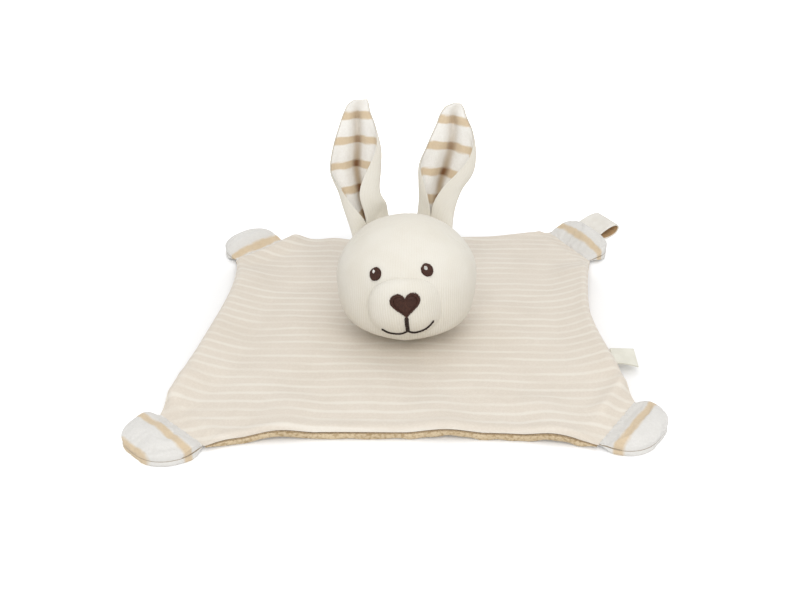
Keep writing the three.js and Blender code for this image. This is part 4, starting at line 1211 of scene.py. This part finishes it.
def makeNose():
    size, middle = np.array(noseShape["size"]), np.array(noseShape["place"])
    turn = np.linspace(0, fullTurn, 96, endpoint=False)
    draw = np.random.default_rng(31)
    border = heart(turn)
    # fill: level threads from one side of the heart to the other
    rows = np.linspace(-0.86, 0.66, noseShape["fillRows"])
    side = border[turn > np.pi]
    side = side[np.argsort(side[:, 1])]
    half = np.interp(rows, side[:, 1], -side[:, 0])
    uneven = rows + draw.uniform(-0.02, 0.02, len(rows))
    ends = np.stack([np.stack([-half, rows], -1), np.stack([half, uneven], -1)], 1)
    fill = middle + ends * size * 0.86
    # border: short threads across the outline, close together
    outer = heart(np.linspace(0, fullTurn, noseShape["rimThreads"], endpoint=False))
    inner = outer * 0.74 + np.array([0, 0.02])
    rim = middle + np.stack([inner, outer + draw.uniform(-0.02, 0.02, outer.shape)], 1) * size
    shapes = [
        flatPad(middle + border * size * 0.95, middle, muzzleHeight, 0.35),
        faceThreads(fill, muzzleHeight, 0.2, noseShape["fill"], 13, foot=0.2),
        faceThreads(rim, muzzleHeight, 0.75, noseShape["rim"], 7, foot=0.1),
    ]
    makePiece("noseThreads", joinShapes(shapes), "brown_thread", "head", ["nose"])


def mouthThreads(places, count, offsets, overlap, thick, draw):
    # slanting stitches along a curve through the places, in a row for each offset
    run, t = np.linspace(0, 1, len(places)), np.linspace(0, 1, 60)
    line = [through(t, run, side) for side in zip(*places)]
    for offset in offsets:
        start = np.linspace(0, 1 - 1 / count, count)
        ends = np.stack([start, np.minimum(start + overlap / count, 1)], -1)
        spots = np.stack([np.interp(ends, t, side) for side in line], -1) + (offset, 0)
        spots[..., 1] += (0.12, -0.12)
        spots += draw.uniform(-0.08, 0.08, spots.shape)
        yield faceThreads(spots, muzzleHeight, 0.45, thick, 7)


def makeMouth():
    draw = np.random.default_rng(41)
    shapes = [shape for given in mouthLines for shape in mouthThreads(**given, draw=draw)]
    makePiece("mouth", joinShapes(shapes), "dark_thread", "head", ["mouth_stitch"])


makeEyes()
makeNose()
makeMouth()
print("embroidery made")


# The ears: a cream outer cloth and a striped inner one, folded along the middle and curled forwards.

earShape = dict(
    leanBack=8, baseRadius=3.2, outer=1.6, gap=0.3, inner=1.0, start=0.06, facing=0.3,
    crease=0.9, creaseSpread=20, thin=0.6,
)
ears = dict(
    left=dict(azimuth=-136.3, elevation=33, splay=-2, length=74, stripe=21.5, stripeApart=14.7),
    right=dict(azimuth=148, elevation=32, splay=8, length=69, stripe=11.4, stripeApart=16),
)
# along each ear, in shares of its length: half width, half depth and sway sideways, and its edges' angles
earPlaces = (0, 0.14, 0.28, 0.45, 0.62, 0.8, 0.93, 0.975, 1)
earEdges = ((166, 152, 132, 104, 86, 70, 56, 50, 45), (190, 186, 174, 152, 124, 92, 62, 52, 45))
earStations = dict(
    left=(
        (0.18, 0.172, 0.168, 0.203, 0.196, 0.15, 0.098, 0.08, 0.06),
        (0.043, 0.072, 0.09, 0.096, 0.09, 0.075, 0.055, 0.046, 0.04),
        (0.06, 0.03, -0.014, -0.037, -0.021, -0.013, -0.006, 0.006, 0.02),
        *earEdges,
    ),
    right=(
        (0.168, 0.163, 0.188, 0.236, 0.214, 0.162, 0.099, 0.072, 0.04),
        (0.043, 0.072, 0.09, 0.096, 0.09, 0.075, 0.055, 0.044, 0.035),
        (0, -0.013, -0.011, 0.015, 0.033, 0.025, 0.004, 0.01, 0.023),
        *earEdges,
    ),
)


def earSection(name, share):
    width, depth, sway, left, right = [through(share, earPlaces, values) for values in earStations[name]]
    left, right = np.radians(left), np.radians(right)
    widest = np.sin(np.minimum(np.pi / 2, (left + right) / 2))
    length = ears[name]["length"]
    return width * length / widest, depth * length, sway * length, left, right


def makeEar(name, azimuth, elevation, splay, length, stripe, stripeApart):
    away = faceDirection(np.array(azimuth), np.array(elevation))
    foldLine = headPoint(away, np.array(earShape["baseRadius"]))
    sideways = np.array([1.0, 0, 0])
    foldAxis = unit(sideways - away * away[0])
    up = unit(np.array([np.tan(np.radians(splay)), np.tan(np.radians(earShape["leanBack"])), 1]))
    facing = unit(sideways - up * up[0])
    baseUp = unit(up - foldAxis * dot(up, foldAxis))

    def face(s, share, depth):
        # an oval trough: across = width * sin(angle), back = depth * cos(angle), from edge to edge,
        # with a crease down its middle: crease * exp(-(angle / spread)^2)
        width, deep, sway, left, right = earSection(name, share)
        angle = np.where(s < 0, s * left, s * right)
        folded = earShape["crease"] * smoothStep(share, 0, earShape["facing"]) * deep
        folded = folded * (1 - smoothStep(share, 0.84, 0.98))
        x = (width - depth) * np.sin(angle) + sway
        y = (deep - depth) * np.cos(angle)
        y = y + folded * np.exp(-((angle / np.radians(earShape["creaseSpread"])) ** 2))
        across = unit(mix(foldAxis, facing, smoothStep(share, 0, earShape["facing"])[..., None]))
        knuckle = np.sqrt(np.maximum(0, earShape["baseRadius"] ** 2 - y**2))
        drop = knuckle * (1 - smoothStep(share, 0, 0.22))
        point = foldLine + across * x[..., None] + unit(np.cross(up, across)) * y[..., None]
        return point + up * (share * length)[..., None] - baseUp * drop[..., None]

    s = closeToEnds(61, 0.6)
    outer, gap = earShape["outer"], earShape["gap"]
    parts = (
        ("Outer", 0.0, 0.0, outer, "cream_jersey", None),
        ("Inner", earShape["start"], outer + gap, earShape["inner"], "white_velour", "ear_velour"),
    )
    for part, start, depth, thick, slot, look in parts:
        rise = mix(start, 1, (closeToEnds(91, 0.5) + 1) / 2)
        across, share = np.meshgrid(s, rise)
        thinned = 1 - earShape["thin"] * np.abs(across) ** 8
        far, near = [face(across, share, d * thinned) for d in (depth, depth + thick)]
        spread = np.cumsum(np.linalg.norm(np.diff(near, axis=1, prepend=near[:, :1]), axis=-1), axis=1)
        spread = spread - spread[:, len(s) // 2][:, None]
        uv = np.stack([spread, (share * length - stripe) * whiteVelour["pitch"] / stripeApart], -1)
        rim = [(thick * 0.35, 0.7), (thick * 0.5, 0), (thick * 0.35, -0.7)]
        node = "ear_" + name + "_" + part.lower()
        makePiece(titled("ear", name) + part, shell(near, far, uv, rim), slot, "ear_" + name, [node], look)


for name, given in ears.items():
    makeEar(name, **given)
print("ears made")


# The hanging loop: a folded strap sewn under the back right paw's edge.

loop = dict(
    width=24, offset=10, reach=39.5, height=9.6, rise=5.5,
    thickness=1.2, press=0.4, pressReach=0.5, shape=1.15,
    liningPlace=1000, foldFrom=20.5, bend=6,
)


def makeLoop():
    seam, size = seams["backRight"], paws["backRight"]
    turn, across = np.meshgrid(np.linspace(0, fullTurn, 97), np.linspace(-1, 1, 33))
    along = loop["offset"] + across * loop["width"] / 2
    half = seam["length"] / 2 + size["bulge"]
    start = size["length"] * (1 - (np.abs(along) / half) ** size["square"]) ** (1 / size["square"]) + 0.6
    paintedFoldShade = smoothStep(np.sin(turn / 2), 0, loop["pressReach"])
    thick = loop["thickness"] / 2 * mix(loop["press"], 1, paintedFoldShade)

    def centre(angle):
        # out along a cosine, and up and down along a sine that grows towards the fold
        share = (1 - np.cos(angle)) / 2
        opening = np.sin(angle) * np.abs(np.sin(angle / 2)) ** loop["shape"]
        apart = (thick + 0.15) * np.cos(angle / 2)
        height = size["rise"] + loop["rise"] * share - loop["height"] / 2 * opening - apart
        return np.stack([mix(start, loop["reach"], share), height])

    place = centre(turn)
    run = centre(np.clip(turn + 1e-3, 0, fullTurn)) - centre(np.clip(turn - 1e-3, 0, fullTurn))
    run = run / np.hypot(*run)

    def face(side):
        out, height = place + np.stack([-run[1], run[0]]) * thick * side
        return np.dstack([onSeam(seam, along, out), blanket["seamHeight"] + height])

    steps = np.diff(place, axis=2, prepend=place[:, :, :1])
    uv = np.stack([along, np.cumsum(np.hypot(*steps), 1)], -1)
    shape = shell(face(1), face(-1), uv, [(0.35, 0.7), (0.5, 0), (0.35, -0.7)])
    index, places = shape[1][0]
    shape[1][0] = (index, places + (loop["liningPlace"], 0))  # the lining is on the side that faces in
    strap = makePiece("hangingLoop", shape, "cream_strap", replaced=["hanging_loop"])
    # its sewn end stays with the paw's edge, and the rest folds
    fold = np.append(seam["middle"] + seam["outward"] * loop["foldFrom"], size["rise"] + 3)
    blendAcross([strap], "paw_back_right", "loop", fold, seam, loop["bend"])


makeLoop()


# The side label: a folded woven tape, bare.

label = dict(
    width=16, length=13, thickness=0.45, gap=0.15, place=(117.625, -45.377, 7.44), droop=1.2, twist=1.0,
)


def makeLabel():
    # once out to the fold and back: the tape's middle line is a long narrow U lying on its side
    reachOut = label["length"]
    t, across = np.meshgrid(np.linspace(0, 1, 81), np.linspace(-1, 1, 25))
    apart = (label["thickness"] + label["gap"]) / 2
    turn = np.clip((t - 0.45) / 0.1, 0, 1) * np.pi
    straight = np.clip(np.minimum(t, 1 - t) / 0.45, 0, 1)
    x = mix(-0.55, reachOut - apart, straight) + apart * np.sin(turn)
    y = across * label["width"] / 2
    droop = (label["droop"] - label["twist"] * across) * (x / reachOut) ** 2
    out = np.stack([np.sin(turn), 0 * turn, np.cos(turn)], -1)
    middle = np.stack([x, y, apart * np.cos(turn) - droop], -1) + label["place"]
    half = label["thickness"] / 2
    uv = np.stack([y, t * 2 * reachOut], -1)
    rim = [(0.12, 0.6), (0.16, 0), (0.12, -0.6)]
    shape = shell(middle + out * half, middle - out * half, uv, rim)
    makePiece("sideLabel", shape, "label_tape", "label", ["side_label"])


makeLabel()
print("loop and label made")


# What each sheet was cut to, in metres.

sheets = dict(
    topCloth=dict(flat=(0.254, 0.264), held="laid", rests_on=["backCloth"], area=0.0575),
    backCloth=dict(flat=(0.254, 0.264), held="laid", area=0.0575, with_pieces=["hemSeam"]),
    earLeftOuter=dict(flat=(0.056, 0.076), held="folded", area=0.0033),
    earLeftInner=dict(flat=(0.048, 0.072), held="folded", area=0.00264),
    earRightOuter=dict(flat=(0.056, 0.071), held="folded", area=0.0031),
    earRightInner=dict(flat=(0.048, 0.067), held="folded", area=0.0024),
    hangingLoop=dict(flat=(0.024, 0.05), held="folded"),
    sideLabel=dict(flat=(0.016, 0.029), held="folded"),
)
for name, cut in sheets.items():
    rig.sheet(bpy.data.objects[name], **cut)


# Floor, light and camera. The lamps face the origin.

studio = dict(
    floor=hue(245, 245, 245), glow=0.1, farGlow=0.9, near=0.13, far=0.26, world=0.66,
    lamps=[
        dict(place=(0.1, -0.95, 0.9), size=0.9, power=7.0),
        dict(place=(0.1, 0.2, 1.3), size=1.4, power=3.0),
    ],
    camera=(0.010974, -0.536798, 0.292602), look=(-0.02461, 0.88996, -0.45538), lens=45,
)


def addToScene(name, data, place=(0, 0, 0), facing=None):
    made = bpy.data.objects.new(name, data)
    bpy.context.scene.collection.objects.link(made)
    made.location = place
    if facing:
        made.rotation_euler = Vector(facing).to_track_quat("-Z", "Y").to_euler()
    return made


def seenDirectly(tree):
    # 1 for what the camera sees itself, in mirrors or through glass, and 0 for the light on other things
    rays = addNode(tree, "LightPath")
    seen = Wire(rays["Is Camera Ray"]).calc("MAXIMUM", Wire(rays["Is Glossy Ray"]))
    return seen.calc("MAXIMUM", Wire(rays["Is Transmission Ray"]))


def makeStudio():
    mesh = bpy.data.meshes.new("floor")
    far = 6
    mesh.from_pydata([(-far, -far, 0), (far, -far, 0), (far, far, 0), (-far, far, 0)], [], [(0, 1, 2, 3)])
    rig.stage(addToScene("floor", mesh))
    look = bpy.data.materials.new("paleFloor")
    look.use_nodes = True
    tree = look.node_tree
    shader = tree.nodes["Principled BSDF"].inputs
    shader["Base Color"].default_value = studio["floor"]
    shader["Roughness"].default_value = 0.9
    shader["Specular IOR Level"].default_value = 0.1
    # what is seen directly is lightened to white, more so far out, and the shadow stays
    place = Wire(addNode(tree, "TexCoord")["Object"])
    away = Wire(addNode(tree, "VectorMath", {0: place}, operation="LENGTH")["Value"])
    glow = mapped(away, studio["near"], studio["far"], studio["glow"], studio["farGlow"])
    tree.links.new((seenDirectly(tree) * glow).socket, shader["Emission Strength"])
    shader["Emission Color"].default_value = (1, 1, 1, 1)
    mesh.materials.append(look)

    world = bpy.data.worlds.new("studioLight")
    bpy.context.scene.world = world
    world.use_nodes = True
    background = world.node_tree.nodes["Background"].inputs
    background["Color"].default_value = (1, 1, 1, 1)
    strength = mapped(seenDirectly(world.node_tree), 0.0, 1.0, studio["world"], 1.0, False)
    world.node_tree.links.new(strength.socket, background["Strength"])

    for i, given in enumerate(studio["lamps"]):
        data = bpy.data.lights.new("lamp%d" % i, "AREA")
        data.shape = "DISK"
        data.size = given["size"]
        data.energy = given["power"]
        addToScene("lamp%d" % i, data, given["place"], -Vector(given["place"]))

    data = bpy.data.cameras.new("camera")
    data.lens = studio["lens"]
    data.sensor_width = 36
    data.clip_start = 0.01
    bpy.context.scene.camera = addToScene("camera", data, studio["camera"], studio["look"])
    bpy.context.scene.view_settings.view_transform = "Standard"


makeStudio()
print("studio made")

with open("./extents.json", "w") as sizes:
    json.dump({"cad": [list(p) for p in cadBox], "visual": [list(p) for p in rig.bounds()]}, sizes)
